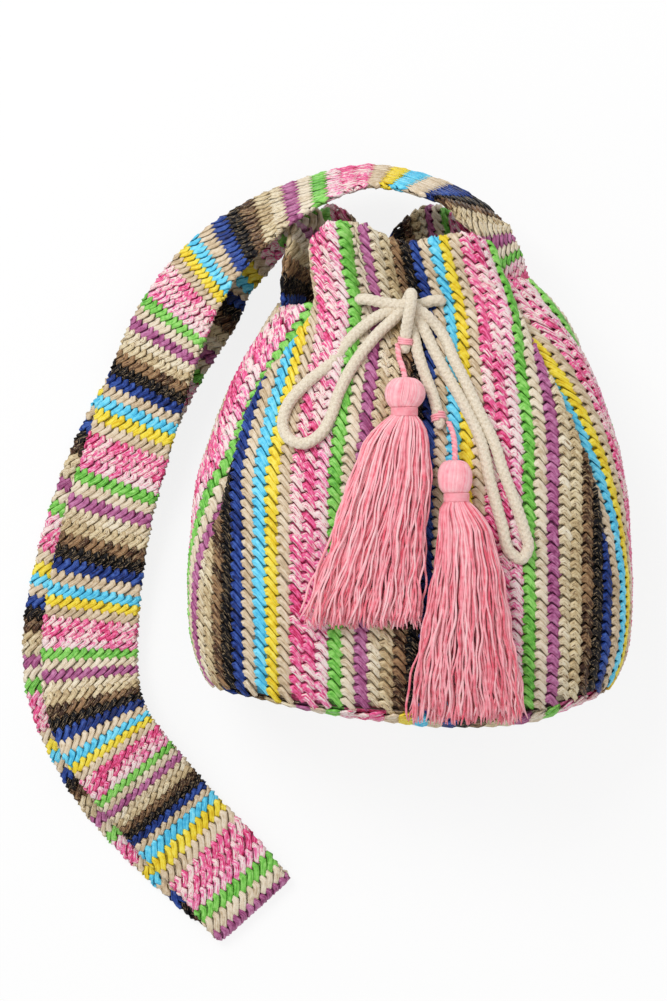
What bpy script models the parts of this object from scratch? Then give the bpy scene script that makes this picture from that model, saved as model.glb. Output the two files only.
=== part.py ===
"""Drawstring bucket bag woven from striped paper yarn, lying on its back with its strap and cord spread out.

Metres, +Z up. The bag lies along Y with its mouth at +Y and its back panel flat on Z = 0.
X = 0 is the middle of the woven body. The strap leaves the mouth on the right, arches over
and runs down on the left to its fold, then back under itself to the left side of the mouth.
"""

import math

import bmesh
import bpy
import numpy as np
from mathutils import Vector

# Driving dimensions of the cloth
PITCH = 0.00747          # width of one woven column
COLUMNS = 90             # columns round the body, six repeats of the stripes
CLOTH = 0.0024           # thickness of the woven cloth
RIB = 0.0009             # how far a column stands out between its two grooves
GAP = 0.0003             # clearance between pieces that touch
MIDDLE = 14.6            # column at the middle of the front
BODY_ROWS = 9            # rows of faces from the base seam to the rim
SQUARENESS = 2.5         # exponent of the body's rounded-oblong section
SECTION_POINTS = 240     # points round that section
RIB_FADE = 0.012         # height above the flat back over which the ribs fade in
BODY_CREASE = 50         # degrees between faces above which the body's edge stays sharp

# Body profile: y, half width, top, underside, middle in x. An underside below zero is pressed flat.
BODY_PROFILE = (
    (-0.126, 0.1225, 0.126, 0.001, 0.0),
    (-0.112, 0.1255, 0.136, -0.002, 0.0),
    (-0.090, 0.1295, 0.143, -0.006, 0.0),
    (-0.050, 0.1305, 0.147, -0.008, 0.0),
    (-0.020, 0.1290, 0.148, -0.008, 0.0),
    (0.010, 0.1260, 0.146, -0.008, 0.0),
    (0.036, 0.1195, 0.141, -0.008, 0.0015),
    (0.073, 0.1060, 0.130, -0.004, 0.003),
    (0.100, 0.0920, 0.120, 0.001, 0.004),
    (0.118, 0.0800, 0.113, 0.008, 0.003),
    (0.135, 0.0680, 0.112, 0.010, -0.001),
    (0.160, 0.0600, 0.114, 0.010, -0.006),
    (0.178, 0.0560, 0.116, 0.010, -0.009),
)
# Width of a column on the gathered front and back: y, width
PANEL_PITCH = (
    (-0.126, 0.00747),
    (0.010, 0.00747),
    (0.047, 0.0072),
    (0.080, 0.0066),
    (0.118, 0.0060),
    (0.178, 0.0056),
)
# The four pleats that draw the neck in: y, first and last column that the pleat takes up
PLEATS = {
    "front_left": ((-0.023, -3.0, -3.0), (0.012, -5.5, 0.0), (0.047, -6.0, 0.3),
                   (0.073, -5.0, 4.0), (0.111, -1.5, 5.0), (0.178, -1.0, 5.0)),
    "front_right": ((-0.023, 30.5, 30.5), (0.010, 29.3, 31.5), (0.040, 27.5, 32.0),
                    (0.073, 26.5, 33.0), (0.111, 24.0, 31.0), (0.178, 24.0, 30.5)),
    "back_right": ((0.045, 46.0, 46.0), (0.073, 46.0, 48.0), (0.111, 43.5, 50.0), (0.178, 43.5, 50.0)),
    "back_left": ((0.045, 73.0, 73.0), (0.073, 71.0, 73.0), (0.111, 69.0, 75.5), (0.178, 69.0, 75.5)),
}
PLEAT_DEPTH = 0.011      # how deep a full pleat sinks into the body
PLEAT_MOUTH = 0.011      # half the width of a pleat's opening
PLEAT_FULL = 3.0         # columns taken up by a pleat that is fully deep
# Height of the rim round the mouth: column, y
RIM = (
    (-8.0, 0.113), (-2.0, 0.116), (2.0, 0.132), (5.0, 0.150), (8.0, 0.1605), (11.0, 0.157),
    (14.5, 0.1485), (18.0, 0.151), (21.0, 0.153), (24.0, 0.149), (27.5, 0.134), (31.0, 0.129),
    (41.0, 0.129), (47.0, 0.146), (52.0, 0.166), (55.5, 0.175), (59.0, 0.160), (61.5, 0.151),
    (64.0, 0.164), (67.0, 0.175), (70.0, 0.160), (73.0, 0.134), (76.0, 0.115), (82.0, 0.113),
)
# Base panel
SEAM_Y = -0.1255         # base seam at the middle of the front
SEAM_RISE = 0.018        # how far the seam climbs towards the sides
SEAM_HALF = 0.125        # where that climb is reached
BASE_DOME = 0.0080       # how far the base bulges below its seam
BASE_ROWS = 4            # rows of faces across the base
BASE_END = 0.985         # share of the base's half width that its cut ends reach
BASE_PITCH = 0.00845     # width of one of its columns
BASE_BLUE = 0.0222       # x of the middle of its blue column
BASE_STRIP = 0.002       # narrowest strip left at a cut end
# Strap
STRAP_WIDTH = 0.060
STRAP_CLOTH = 0.0024
STRAP_RIB = 0.0006
# Strap route: x, y, z of its middle line, how far it leans on its outer edge in degrees, width share
STRAP_ROUTE = (
    (0.0835, 0.1050, 0.061, 90, 0.58),
    (0.0762, 0.1150, 0.061, 90, 0.58),
    (0.0665, 0.1240, 0.061, 90, 0.59),
    (0.0596, 0.1330, 0.060, 90, 0.58),
    (0.0585, 0.1450, 0.064, 84, 0.72),
    (0.0560, 0.1580, 0.075, 77, 0.94),
    (0.0445, 0.1690, 0.074, 74, 1.0),
    (0.0280, 0.1790, 0.069, 74, 1.0),
    (0.0110, 0.1870, 0.064, 74, 1.0),
    (-0.0080, 0.1925, 0.060, 74, 1.0),
    (-0.0260, 0.1940, 0.058, 73, 1.0),
    (-0.0440, 0.1900, 0.057, 71, 1.0),
    (-0.0600, 0.1840, 0.055, 68, 1.0),
    (-0.0780, 0.1750, 0.052, 63, 1.0),
    (-0.0950, 0.1640, 0.048, 57, 1.0),
    (-0.1093, 0.1530, 0.045, 53, 1.0),
    (-0.1230, 0.1385, 0.041, 48, 1.0),
    (-0.1350, 0.1220, 0.036, 42, 1.0),
    (-0.1450, 0.1040, 0.031, 36, 0.99),
    (-0.1540, 0.0830, 0.026, 30, 0.96),
    (-0.1620, 0.0610, 0.022, 24, 0.94),
    (-0.1716, 0.0300, 0.018, 18, 0.93),
    (-0.1810, -0.0010, 0.015, 13, 0.93),
    (-0.1880, -0.0330, 0.013, 9, 0.95),
    (-0.1935, -0.0680, 0.011, 5, 0.99),
    (-0.1950, -0.0980, 0.012, 2, 1.0),
    (-0.1924, -0.1210, 0.018, 0, 1.0),
    (-0.1850, -0.1410, 0.023, 0, 1.0),
    (-0.1730, -0.1590, 0.022, 0, 1.0),
    (-0.1576, -0.1780, 0.016, 0, 1.0),
    (-0.1396, -0.2020, 0.011, 0, 1.0),
    (-0.1182, -0.2270, 0.0095, 0, 1.0),
    (-0.1000, -0.2480, 0.0100, 0, 1.0),
    (-0.0925, -0.2565, 0.0092, 0, 1.0),
    (-0.0895, -0.2600, 0.0058, 0, 1.0),
    (-0.0925, -0.2565, 0.0024, 0, 1.0),
    (-0.1010, -0.2480, 0.0018, 0, 1.0),
    (-0.1180, -0.2350, 0.0018, 0, 1.0),
    (-0.1380, -0.2150, 0.0018, 0, 1.0),
    (-0.1600, -0.1920, 0.0018, 0, 1.0),
    (-0.1790, -0.1690, 0.0018, 0, 1.0),
    (-0.1940, -0.1430, 0.0018, 0, 1.0),
    (-0.2050, -0.1150, 0.0018, 0, 1.0),
    (-0.2090, -0.0830, 0.0018, 0, 1.0),
    (-0.2060, -0.0500, 0.0018, 0, 1.0),
    (-0.1990, -0.0130, 0.0018, 0, 0.98),
    (-0.1890, 0.0200, 0.0018, 0, 0.95),
    (-0.1750, 0.0530, 0.0018, 0, 0.90),
    (-0.1600, 0.0790, 0.0018, 0, 0.84),
    (-0.1440, 0.1000, 0.0018, 0, 0.78),
    (-0.1290, 0.1190, 0.0024, 0, 0.70),
    (-0.1150, 0.1350, 0.0050, 6, 0.62),
    (-0.1030, 0.1470, 0.0110, 18, 0.56),
    (-0.0930, 0.1530, 0.0190, 38, 0.52),
    (-0.0860, 0.1510, 0.0300, 62, 0.52),
    (-0.0790, 0.1430, 0.0420, 80, 0.54),
    (-0.0728, 0.1310, 0.0520, 88, 0.54),
    (-0.0695, 0.1200, 0.0560, 90, 0.54),
    (-0.0732, 0.1100, 0.0570, 90, 0.56),
    (-0.0790, 0.1010, 0.0580, 90, 0.56),
)
STRAP_STEP = 0.5         # columns of cloth between two rows of the strap's points
STRAP_FIRST = 0.0        # column of the stripes at the strap's right end
FOLD_FROM = 0.46         # share of the strap where its fold begins
FOLD_TO = 0.53           # and where it ends
# Drawstring
CORD_R = 0.00325
HOLE_R = 0.0046
HOLES = ((-0.0301, 0.1167), (0.0165, 0.1161))
HOLE_SPAN = (0.094, 0.128)
HOLE_SIDES = 12
CORD_POINTS = 80
CORD_ROUND = 2           # steps in a quarter of the cord's round
CORD_ROUTE = (
    (-0.0040, 0.0850, 0.1300), (-0.0050, 0.0920, 0.1275), (-0.0075, 0.0990, 0.1245),
    (-0.0125, 0.1028, 0.1230), (-0.0190, 0.1000, 0.1235), (-0.0255, 0.0929, 0.1255),
    (-0.0342, 0.0790, 0.1295), (-0.0423, 0.0622, 0.1345), (-0.0475, 0.0472, 0.1380),
    (-0.0533, 0.0379, 0.1405), (-0.0626, 0.0327, 0.1400), (-0.0695, 0.0344, 0.1375),
    (-0.0747, 0.0431, 0.1315), (-0.0724, 0.0541, 0.1300), (-0.0626, 0.0663, 0.1295),
    (-0.0475, 0.0790, 0.1270), (-0.0325, 0.0970, 0.1230), (-0.0203, 0.1080, 0.1210),
    (-0.0087, 0.1120, 0.1200), (0.0000, 0.1140, 0.1185), (0.0080, 0.1165, 0.1180),
    (0.0140, 0.1163, 0.1180), (0.0172, 0.1161, 0.1140), (0.0180, 0.1161, 0.1060),
    (0.0210, 0.1165, 0.0985), (0.0300, 0.1170, 0.0935), (0.0420, 0.1170, 0.0890),
    (0.0530, 0.1170, 0.0790), (0.0590, 0.1170, 0.0650), (0.0590, 0.1170, 0.0520),
    (0.0510, 0.1170, 0.0390), (0.0370, 0.1170, 0.0300), (0.0180, 0.1170, 0.0270),
    (0.0000, 0.1170, 0.0265), (-0.0190, 0.1170, 0.0270), (-0.0350, 0.1170, 0.0310),
    (-0.0470, 0.1170, 0.0410), (-0.0520, 0.1170, 0.0540), (-0.0510, 0.1170, 0.0680),
    (-0.0470, 0.1170, 0.0830), (-0.0400, 0.1170, 0.0920), (-0.0335, 0.1167, 0.0985),
    (-0.0308, 0.1167, 0.1060), (-0.0300, 0.1167, 0.1150), (-0.0265, 0.1175, 0.1205),
    (-0.0180, 0.1190, 0.1230), (-0.0090, 0.1185, 0.1250), (0.0000, 0.1140, 0.1265),
    (0.0070, 0.1080, 0.1255), (0.0133, 0.1020, 0.1245), (0.0190, 0.0935, 0.1260),
    (0.0238, 0.0819, 0.1305), (0.0306, 0.0680, 0.1350), (0.0376, 0.0524, 0.1390),
    (0.0470, 0.0321, 0.1435), (0.0520, 0.0160, 0.1455), (0.0580, 0.0000, 0.1465),
    (0.0640, -0.0180, 0.1460), (0.0660, -0.0270, 0.1460), (0.0620, -0.0335, 0.1465),
    (0.0560, -0.0300, 0.1475), (0.0510, -0.0142, 0.1485), (0.0445, 0.0096, 0.1475),
    (0.0387, 0.0350, 0.1435), (0.0290, 0.0560, 0.1385), (0.0190, 0.0740, 0.1330),
    (0.0125, 0.0880, 0.1285), (0.0100, 0.0960, 0.1260), (0.0058, 0.1000, 0.1240),
    (0.0020, 0.0955, 0.1265), (0.0028, 0.0860, 0.1300), (0.0070, 0.0730, 0.1335),
    (0.0118, 0.0600, 0.1380), (0.0145, 0.0490, 0.1415), (0.0155, 0.0410, 0.1435),
)
# Tassels: y along each hank's middle line with x, z, half width and half thickness
HANK_SIDES = 28
HANK_CREASE = 60         # degrees between faces above which the hank's edge stays sharp
STRAND_RIDGE = 0.06      # share by which every other side of a skirt stands out
TASSELS = {
    "tassel_a": (
        (0.0700, -0.0045, 0.1470, 0.0020, 0.0020), (0.0690, -0.0045, 0.1470, 0.0065, 0.0060),
        (0.0655, -0.0045, 0.1470, 0.0100, 0.0090), (0.0600, -0.0045, 0.1475, 0.0110, 0.0100),
        (0.0555, -0.0047, 0.1485, 0.0090, 0.0085), (0.0530, -0.0050, 0.1495, 0.0066, 0.0066),
        (0.0480, -0.0050, 0.1495, 0.0066, 0.0066), (0.0430, -0.0066, 0.1510, 0.0130, 0.0090),
        (0.0330, -0.0095, 0.1525, 0.0180, 0.0095), (0.0100, -0.0130, 0.1570, 0.0225, 0.0090),
        (-0.0200, -0.0195, 0.1585, 0.0260, 0.0080), (-0.0500, -0.0260, 0.1555, 0.0300, 0.0070),
        (-0.0630, -0.0285, 0.1545, 0.0310, 0.0060), (-0.0690, -0.0285, 0.1540, 0.0290, 0.0045),
    ),
    "tassel_b": (
        (0.0225, 0.0235, 0.1570, 0.0020, 0.0020), (0.0215, 0.0235, 0.1570, 0.0060, 0.0056),
        (0.0180, 0.0236, 0.1570, 0.0085, 0.0080), (0.0120, 0.0238, 0.1575, 0.0092, 0.0088),
        (0.0070, 0.0240, 0.1585, 0.0082, 0.0078), (0.0040, 0.0244, 0.1590, 0.0062, 0.0062),
        (-0.0010, 0.0244, 0.1590, 0.0062, 0.0062), (-0.0060, 0.0256, 0.1600, 0.0110, 0.0085),
        (-0.0160, 0.0290, 0.1610, 0.0145, 0.0092), (-0.0400, 0.0308, 0.1605, 0.0188, 0.0090),
        (-0.0700, 0.0305, 0.1585, 0.0235, 0.0080), (-0.1000, 0.0305, 0.1540, 0.0290, 0.0070),
        (-0.1170, 0.0308, 0.1485, 0.0315, 0.0060), (-0.1240, 0.0308, 0.1460, 0.0290, 0.0045),
    ),
}
BINDING_WALL = 0.0014
BINDING_LENGTH = 0.0048
BINDING_STEPS = 24
NECK_STATIONS = (5, 6)   # the two stations of a hank that its binding covers
LOOP_R = 0.0009          # radius of the twisted hanging loop
LOOP_POINTS = 17
LOOP_ROUND = 1           # steps in a quarter of the loop's round
LOOPS = {
    "tassel_a": ((-0.0062, 0.0712, 0.1465), (-0.0076, 0.0770, 0.1430), (-0.0089, 0.0860, 0.1350),
                 (-0.0072, 0.0895, 0.1365), (-0.0040, 0.0908, 0.1375), (-0.0008, 0.0893, 0.1365),
                 (0.0008, 0.0860, 0.1360), (-0.0010, 0.0770, 0.1430), (-0.0028, 0.0712, 0.1465)),
    "tassel_b": ((0.0218, 0.0238, 0.1560), (0.0160, 0.0300, 0.1520), (0.0102, 0.0400, 0.1425),
                 (0.0105, 0.0430, 0.1460), (0.0150, 0.0442, 0.1475), (0.0195, 0.0430, 0.1460),
                 (0.0202, 0.0400, 0.1450), (0.0215, 0.0300, 0.1520), (0.0250, 0.0238, 0.1560)),
}

# The fifteen columns of one repeat, and each yarn's colour
STRIPES = ("blue", "beige", "cyan", "yellow", "beige", "pink", "pink", "blush", "green", "cream",
           "purple", "sand", "tan", "brown", "black")
YARNS = {
    "blue": (0.012, 0.045, 0.22), "beige": (0.60, 0.48, 0.32), "cyan": (0.10, 0.55, 0.80),
    "yellow": (0.85, 0.66, 0.03), "pink": (0.80, 0.13, 0.30), "blush": (0.88, 0.50, 0.58),
    "green": (0.13, 0.52, 0.05), "cream": (0.72, 0.60, 0.42), "purple": (0.25, 0.06, 0.22),
    "sand": (0.52, 0.41, 0.24), "tan": (0.46, 0.33, 0.17), "brown": (0.075, 0.030, 0.013),
    "black": (0.012, 0.011, 0.012),
}
YARN_ROUGHNESS = 0.5
CORD_COLOUR = (0.72, 0.64, 0.50)
TASSEL_COLOUR = (0.85, 0.30, 0.36)
COTTON_ROUGHNESS = 0.85


def clear_scene():
    """Remove whatever the new scene holds."""
    for thing in list(bpy.data.objects):
        bpy.data.objects.remove(thing, do_unlink=True)


def new_collection(name):
    """A collection of this name in the scene."""
    made = bpy.data.collections.new(name)
    bpy.context.scene.collection.children.link(made)
    return made


def material(name, colour, roughness):
    """A plain Principled material, made once for each name."""
    made = bpy.data.materials.get(name)
    if made is None:
        made = bpy.data.materials.new(name)
        made.use_nodes = True
        shader = made.node_tree.nodes["Principled BSDF"]
        shader.inputs["Base Color"].default_value = (*colour, 1.0)
        shader.inputs["Roughness"].default_value = roughness
        shader.inputs["Metallic"].default_value = 0.0
        made.diffuse_color = (*colour, 1.0)
    return made


def woven_slots(mesh):
    """One material slot for each yarn of the stripes."""
    for yarn, colour in YARNS.items():
        mesh.materials.append(material("yarn_" + yarn, colour, YARN_ROUGHNESS))


def yarn_slot(column):
    """The slot of the yarn that this column of the stripes is woven from."""
    stripe = STRIPES[math.floor(column) % len(STRIPES)]
    return list(YARNS).index(stripe)


def smooth_step(t):
    """0 below 0, 1 above 1, and a smooth rise between."""
    t = min(1.0, max(0.0, t))
    return t * t * (3.0 - 2.0 * t)


def read_table(rows, x, level=True):
    """The row of values at x, smoothly between the rows given, level at each high or low unless told not to be.

    The first value of a row is its x.
    """
    x = min(max(x, rows[0][0]), rows[-1][0])
    last = len(rows) - 1
    i = 0
    while i < last - 1 and x > rows[i + 1][0]:
        i += 1
    before, low, high, after = rows[max(i - 1, 0)], rows[i], rows[i + 1], rows[min(i + 2, last)]
    span = high[0] - low[0]
    t = (x - low[0]) / span
    values = []
    for k in range(1, len(low)):
        slope_low = (high[k] - before[k]) / (high[0] - before[0]) * span
        slope_high = (after[k] - low[k]) / (after[0] - low[0]) * span
        rise = high[k] - low[k]
        if level and (low[k] - before[k]) * rise <= 0.0 and i > 0:
            slope_low = 0.0
        if level and (after[k] - high[k]) * rise <= 0.0 and i + 2 <= last:
            slope_high = 0.0
        values.append(
            low[k] * (1 + 2 * t) * (1 - t) ** 2 + slope_low * t * (1 - t) ** 2
            + high[k] * t * t * (3 - 2 * t) + slope_high * t * t * (t - 1)
        )
    return values


def body_section(y):
    """The body's section at y: its points in x and z from the middle of the front, and the way round to each."""
    half, top, low, middle = read_table(BODY_PROFILE, y)
    turn = np.linspace(0.0, 2.0 * math.pi, SECTION_POINTS + 1)
    power = 2.0 / SQUARENESS
    across = np.sign(np.sin(turn)) * np.abs(np.sin(turn)) ** power
    up = np.sign(np.cos(turn)) * np.abs(np.cos(turn)) ** power
    x = middle + half * across
    z = np.maximum((top + low) / 2.0 + (top - low) / 2.0 * up, 0.0)
    way = np.concatenate([[0.0], np.cumsum(np.hypot(np.diff(x), np.diff(z)))])
    return x, z, way


def side_run(column, y, girth):
    """How far round from the front's middle this column lies, and how deep it sinks into a pleat."""
    pitch = read_table(PANEL_PITCH, y)[0]
    right = column >= MIDDLE
    front, back = ("front_right", "back_right") if right else ("front_left", "back_left")
    shift = 0.0 if right else -COLUMNS
    taken = {}
    for name, turn in ((front, 0.0), (back, shift)):
        first, last = read_table(PLEATS[name], y)
        near, far = (first + turn, last + turn) if right else (last + turn, first + turn)
        taken[name] = (abs(near - MIDDLE), abs(far - MIDDLE))
    half_round = COLUMNS / 2.0
    front_near, front_far = taken[front]
    back_near, back_far = taken[back]
    mouth = PLEAT_MOUTH
    fronts = front_near * pitch
    backs = (half_round - back_far) * pitch
    openings = []
    for near, far in ((front_near, front_far), (back_near, back_far)):
        openings.append(2.0 * mouth * smooth_step((far - near) / PLEAT_FULL))
    loose = back_near - front_far
    side_pitch = (girth / 2.0 - fronts - backs - sum(openings)) / loose
    away = abs(column - MIDDLE)
    depth = 0.0
    if away <= front_near:
        run = away * pitch
    elif away < front_far:
        share = (away - front_near) / (front_far - front_near)
        run = fronts + openings[0] * share
        depth = (0.5 - 0.5 * math.cos(2.0 * math.pi * share)) * openings[0] / (2.0 * mouth)
    elif away <= back_near:
        run = fronts + openings[0] + (away - front_far) * side_pitch
    elif away < back_far:
        share = (away - back_near) / (back_far - back_near)
        run = fronts + openings[0] + loose * side_pitch + openings[1] * share
        depth = (0.5 - 0.5 * math.cos(2.0 * math.pi * share)) * openings[1] / (2.0 * mouth)
    else:
        run = girth / 2.0 - (half_round - away) * pitch
    return (run if right else girth - run), depth


def body_point(column, y, lift=0.0):
    """The point of the body's outside at this column and y, moved out by lift."""
    xs, zs, way = body_section(y)
    girth = way[-1]
    run, depth = side_run(column, y, girth)
    run = run % girth
    x = float(np.interp(run, way, xs))
    z = float(np.interp(run, way, zs))
    reach = girth / SECTION_POINTS
    ahead = (run + reach) % girth
    behind = (run - reach) % girth
    dx = float(np.interp(ahead, way, xs) - np.interp(behind, way, xs))
    dz = float(np.interp(ahead, way, zs) - np.interp(behind, way, zs))
    length = math.hypot(dx, dz)
    out = lift - depth * PLEAT_DEPTH
    return Vector((x - dz / length * out, y, z + dx / length * out))


def rim_height(column):
    """Y of the rim over this column."""
    first = RIM[0][0]
    return read_table(RIM, first + (column - first) % COLUMNS)[0]


def seam_height(x):
    """Y of the seam between body and base at this x."""
    return SEAM_Y + SEAM_RISE * (abs(x) / SEAM_HALF) ** 4


def rib_lift(column, z):
    """How far a column's middle is set out or its edge set in, fading out on the flat back."""
    middle = abs(column - math.floor(column) - 0.5) < 0.25
    return (RIB / 2.0 if middle else -RIB / 2.0) * smooth_step(z / RIB_FADE)


def body_columns():
    """Two points for each column: its edge and its middle."""
    half_round = COLUMNS // 2
    start = math.floor(MIDDLE) - half_round
    return [start + i / 2.0 for i in range(2 * COLUMNS)]


def shell_point(column, share):
    """A point of the body's outside, from its seam at share 0 to its rim at share 1."""
    inside = column if column < MIDDLE + COLUMNS / 2.0 else column - COLUMNS
    foot = seam_height(body_point(inside, SEAM_Y).x)
    y = foot + (rim_height(inside) - foot) * share
    flat = body_point(inside, y)
    return body_point(inside, y, rib_lift(inside, flat.z))


def mesh_object(name, points, faces, slots, collection):
    """A mesh object with a material slot for each yarn."""
    mesh = bpy.data.meshes.new(name)
    mesh.from_pydata([tuple(p) for p in points], [], faces)
    woven_slots(mesh)
    mesh.polygons.foreach_set("material_index", slots)
    mesh.update()
    made = bpy.data.objects.new(name, mesh)
    collection.objects.link(made)
    return made


def thicken(thing, thickness, offset):
    """Give an open sheet its thickness, on the side of its faces' normals that the offset names."""
    solid = thing.modifiers.new("cloth", "SOLIDIFY")
    solid.thickness = thickness
    solid.offset = offset
    solid.use_even_offset = False


def hole_cutter(number, place, cutters):
    """A round cutter for one of the two holes that the drawstring leaves by."""
    low, high = HOLE_SPAN
    bpy.ops.mesh.primitive_cylinder_add(
        vertices=HOLE_SIDES, radius=HOLE_R, depth=high - low,
        location=(place[0], place[1], (low + high) / 2.0)
    )
    cutter = bpy.context.object
    cutter.name = "hole_cutter_" + str(number)
    cutter.hide_render = True
    cutter.display_type = "WIRE"
    for owner in list(cutter.users_collection):
        owner.objects.unlink(cutter)
    cutters.objects.link(cutter)
    return cutter


def make_body(parts, cutters):
    """The woven shell: columns from the base seam to the rim, drawn in by four pleats."""
    columns = body_columns()
    count = len(columns)
    points = [shell_point(c, row / BODY_ROWS) for row in range(BODY_ROWS + 1) for c in columns]
    faces = []
    slots = []
    for row in range(BODY_ROWS):
        for i in range(count):
            j = (i + 1) % count
            faces.append((row * count + i, row * count + j, (row + 1) * count + j, (row + 1) * count + i))
            slots.append(yarn_slot(columns[i]))
    body = mesh_object("woven_body", points, faces, slots, parts)
    thicken(body, CLOTH, -1.0)
    for number, place in enumerate(HOLES):
        cut = body.modifiers.new("cord_hole", "BOOLEAN")
        cut.operation = "DIFFERENCE"
        cut.solver = "EXACT"
        cut.object = hole_cutter(number, place, cutters)
    body.data.shade_smooth()
    body.data.set_sharp_from_angle(angle=math.radians(BODY_CREASE))


def base_columns(low, high):
    """Places across the base from its low to its high cut end: x, and whether it is a column's middle."""
    places = [(low, False)]
    step = BASE_PITCH / 2.0
    number = math.ceil((low + BASE_STRIP - BASE_BLUE) / step)
    while BASE_BLUE + number * step < high - BASE_STRIP:
        places.append((BASE_BLUE + number * step, number % 2 == 0))
        number += 1
    places.append((high, False))
    return places


def make_base(parts):
    """The base panel: an oval cut with its columns running from front to back, domed a little."""
    xs, zs, _ = body_section(SEAM_Y)
    middle = (xs.max() + xs.min()) / 2.0
    half = (xs.max() - xs.min()) / 2.0 * BASE_END
    order = np.argsort(xs)
    xs, zs = xs[order], zs[order]
    upper = zs > zs.max() / 2.0
    places = base_columns(middle - half, middle + half)
    points = []
    for x, in_middle in places:
        top = float(np.interp(x, xs[upper], zs[upper]))
        low = float(np.interp(x, xs[~upper], zs[~upper]))
        rib = RIB / 2.0 if in_middle else -RIB / 2.0
        for row in range(BASE_ROWS + 1):
            share = row / BASE_ROWS
            edge = row in (0, BASE_ROWS)
            bulge = 1.0 - min(1.0, ((x - middle) / half) ** 2)
            bulge *= 0.0 if edge else math.sin(math.pi * share) ** 0.5
            y = seam_height(x) - GAP - BASE_DOME * bulge - (0.0 if edge else rib)
            points.append(Vector((x, y, low + (top - low) * share)))
    rows = BASE_ROWS + 1
    faces = []
    slots = []
    for i in range(len(places) - 1):
        between = (places[i][0] + places[i + 1][0]) / 2.0
        for row in range(BASE_ROWS):
            a = i * rows + row
            faces.append((a, a + rows, a + rows + 1, a + 1))
            slots.append(yarn_slot((BASE_BLUE - between) / BASE_PITCH + 0.5))
    base = mesh_object("base_panel", points, faces, slots, parts)
    thicken(base, CLOTH, 1.0)


def smooth_route(points, count):
    """Points at even spacing along a smooth curve through the points given."""
    given = np.array(points)
    way = np.concatenate([[0.0], np.cumsum(np.linalg.norm(np.diff(given[:, :3], axis=0), axis=1))])
    rows = [(way[i], *given[i]) for i in range(len(given))]
    fine = np.array([read_table(rows, s, level=False) for s in np.linspace(0.0, way[-1], 12 * len(given))])
    fine_way = np.concatenate([[0.0], np.cumsum(np.linalg.norm(np.diff(fine[:, :3], axis=0), axis=1))])
    even = np.linspace(0.0, fine_way[-1], count)
    return np.column_stack([np.interp(even, fine_way, fine[:, k]) for k in range(fine.shape[1])]), fine_way[-1]


def strap_side(line, i, rows):
    """The level direction across the strap: it keeps its sense through the fold and turns over after it."""
    share = i / rows
    start, end = int(FOLD_FROM * rows), int(FOLD_TO * rows)
    if share < FOLD_TO:
        ahead = Vector(line[start + 1][:3]) - Vector(line[start - 1][:3])
        return Vector((ahead.y, -ahead.x, 0.0)).normalized()
    before, after = Vector(line[i - 1][:3]), Vector(line[min(i + 1, rows - 1)][:3])
    ahead = after - before
    return Vector((-ahead.y, ahead.x, 0.0)).normalized()


def make_strap(parts):
    """The strap: one long woven band, its columns across it, swept along its route."""
    _, length = smooth_route(STRAP_ROUTE, 8)
    rows = int(length / (PITCH * STRAP_STEP)) + 1
    line, _ = smooth_route(STRAP_ROUTE, rows)
    points = []
    for i, (x, y, z, lean, share) in enumerate(line):
        before = Vector(line[max(i - 1, 0)][:3])
        after = Vector(line[min(i + 1, rows - 1)][:3])
        ahead = (after - before).normalized()
        level = Vector((ahead.y, -ahead.x, 0.0)).normalized()
        if FOLD_FROM < i / rows < 1.0:
            level = strap_side(line, i, rows)
        lean = math.radians(lean)
        side = (level * math.cos(lean) - Vector((0.0, 0.0, 1.0)) * math.sin(lean)).normalized()
        side = (side - ahead * side.dot(ahead)).normalized()
        face = side.cross(ahead).normalized()
        rib = STRAP_RIB / 2.0 if i % 2 else -STRAP_RIB / 2.0
        half = STRAP_WIDTH / 2.0 * share
        centre = Vector((x, y, z))
        for across, out in ((-1, 1), (1, 1), (1, -1), (-1, -1)):
            points.append(centre + side * half * across + face * (STRAP_CLOTH / 2.0 + rib) * out)
    faces = [(3, 2, 1, 0)]
    slots = [yarn_slot(STRAP_FIRST)]
    for i in range(rows - 1):
        for k in range(4):
            a, b = 4 * i + k, 4 * i + (k + 1) % 4
            faces.append((a, b, b + 4, a + 4))
            slots.append(yarn_slot(STRAP_FIRST + i * STRAP_STEP))
    end = 4 * (rows - 1)
    faces.append((end, end + 1, end + 2, end + 3))
    slots.append(yarn_slot(STRAP_FIRST + rows * STRAP_STEP))
    strap = mesh_object("shoulder_strap", points, faces, slots, parts)
    repair = bmesh.new()
    repair.from_mesh(strap.data)
    bmesh.ops.recalc_face_normals(repair, faces=repair.faces)
    repair.to_mesh(strap.data)
    repair.free()


def make_tube(name, route, count, radius, quarter_steps, colour, parts):
    """A round cord along its route, with closed ends."""
    line, _ = smooth_route(route, count)
    curve = bpy.data.curves.new(name, "CURVE")
    curve.dimensions = "3D"
    curve.bevel_depth = radius
    curve.bevel_resolution = quarter_steps
    curve.use_fill_caps = True
    run = curve.splines.new("POLY")
    run.points.add(count - 1)
    for point, place in zip(run.points, line):
        point.co = (*place, 1.0)
    curve.materials.append(colour)
    made = bpy.data.objects.new(name, curve)
    parts.objects.link(made)


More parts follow.
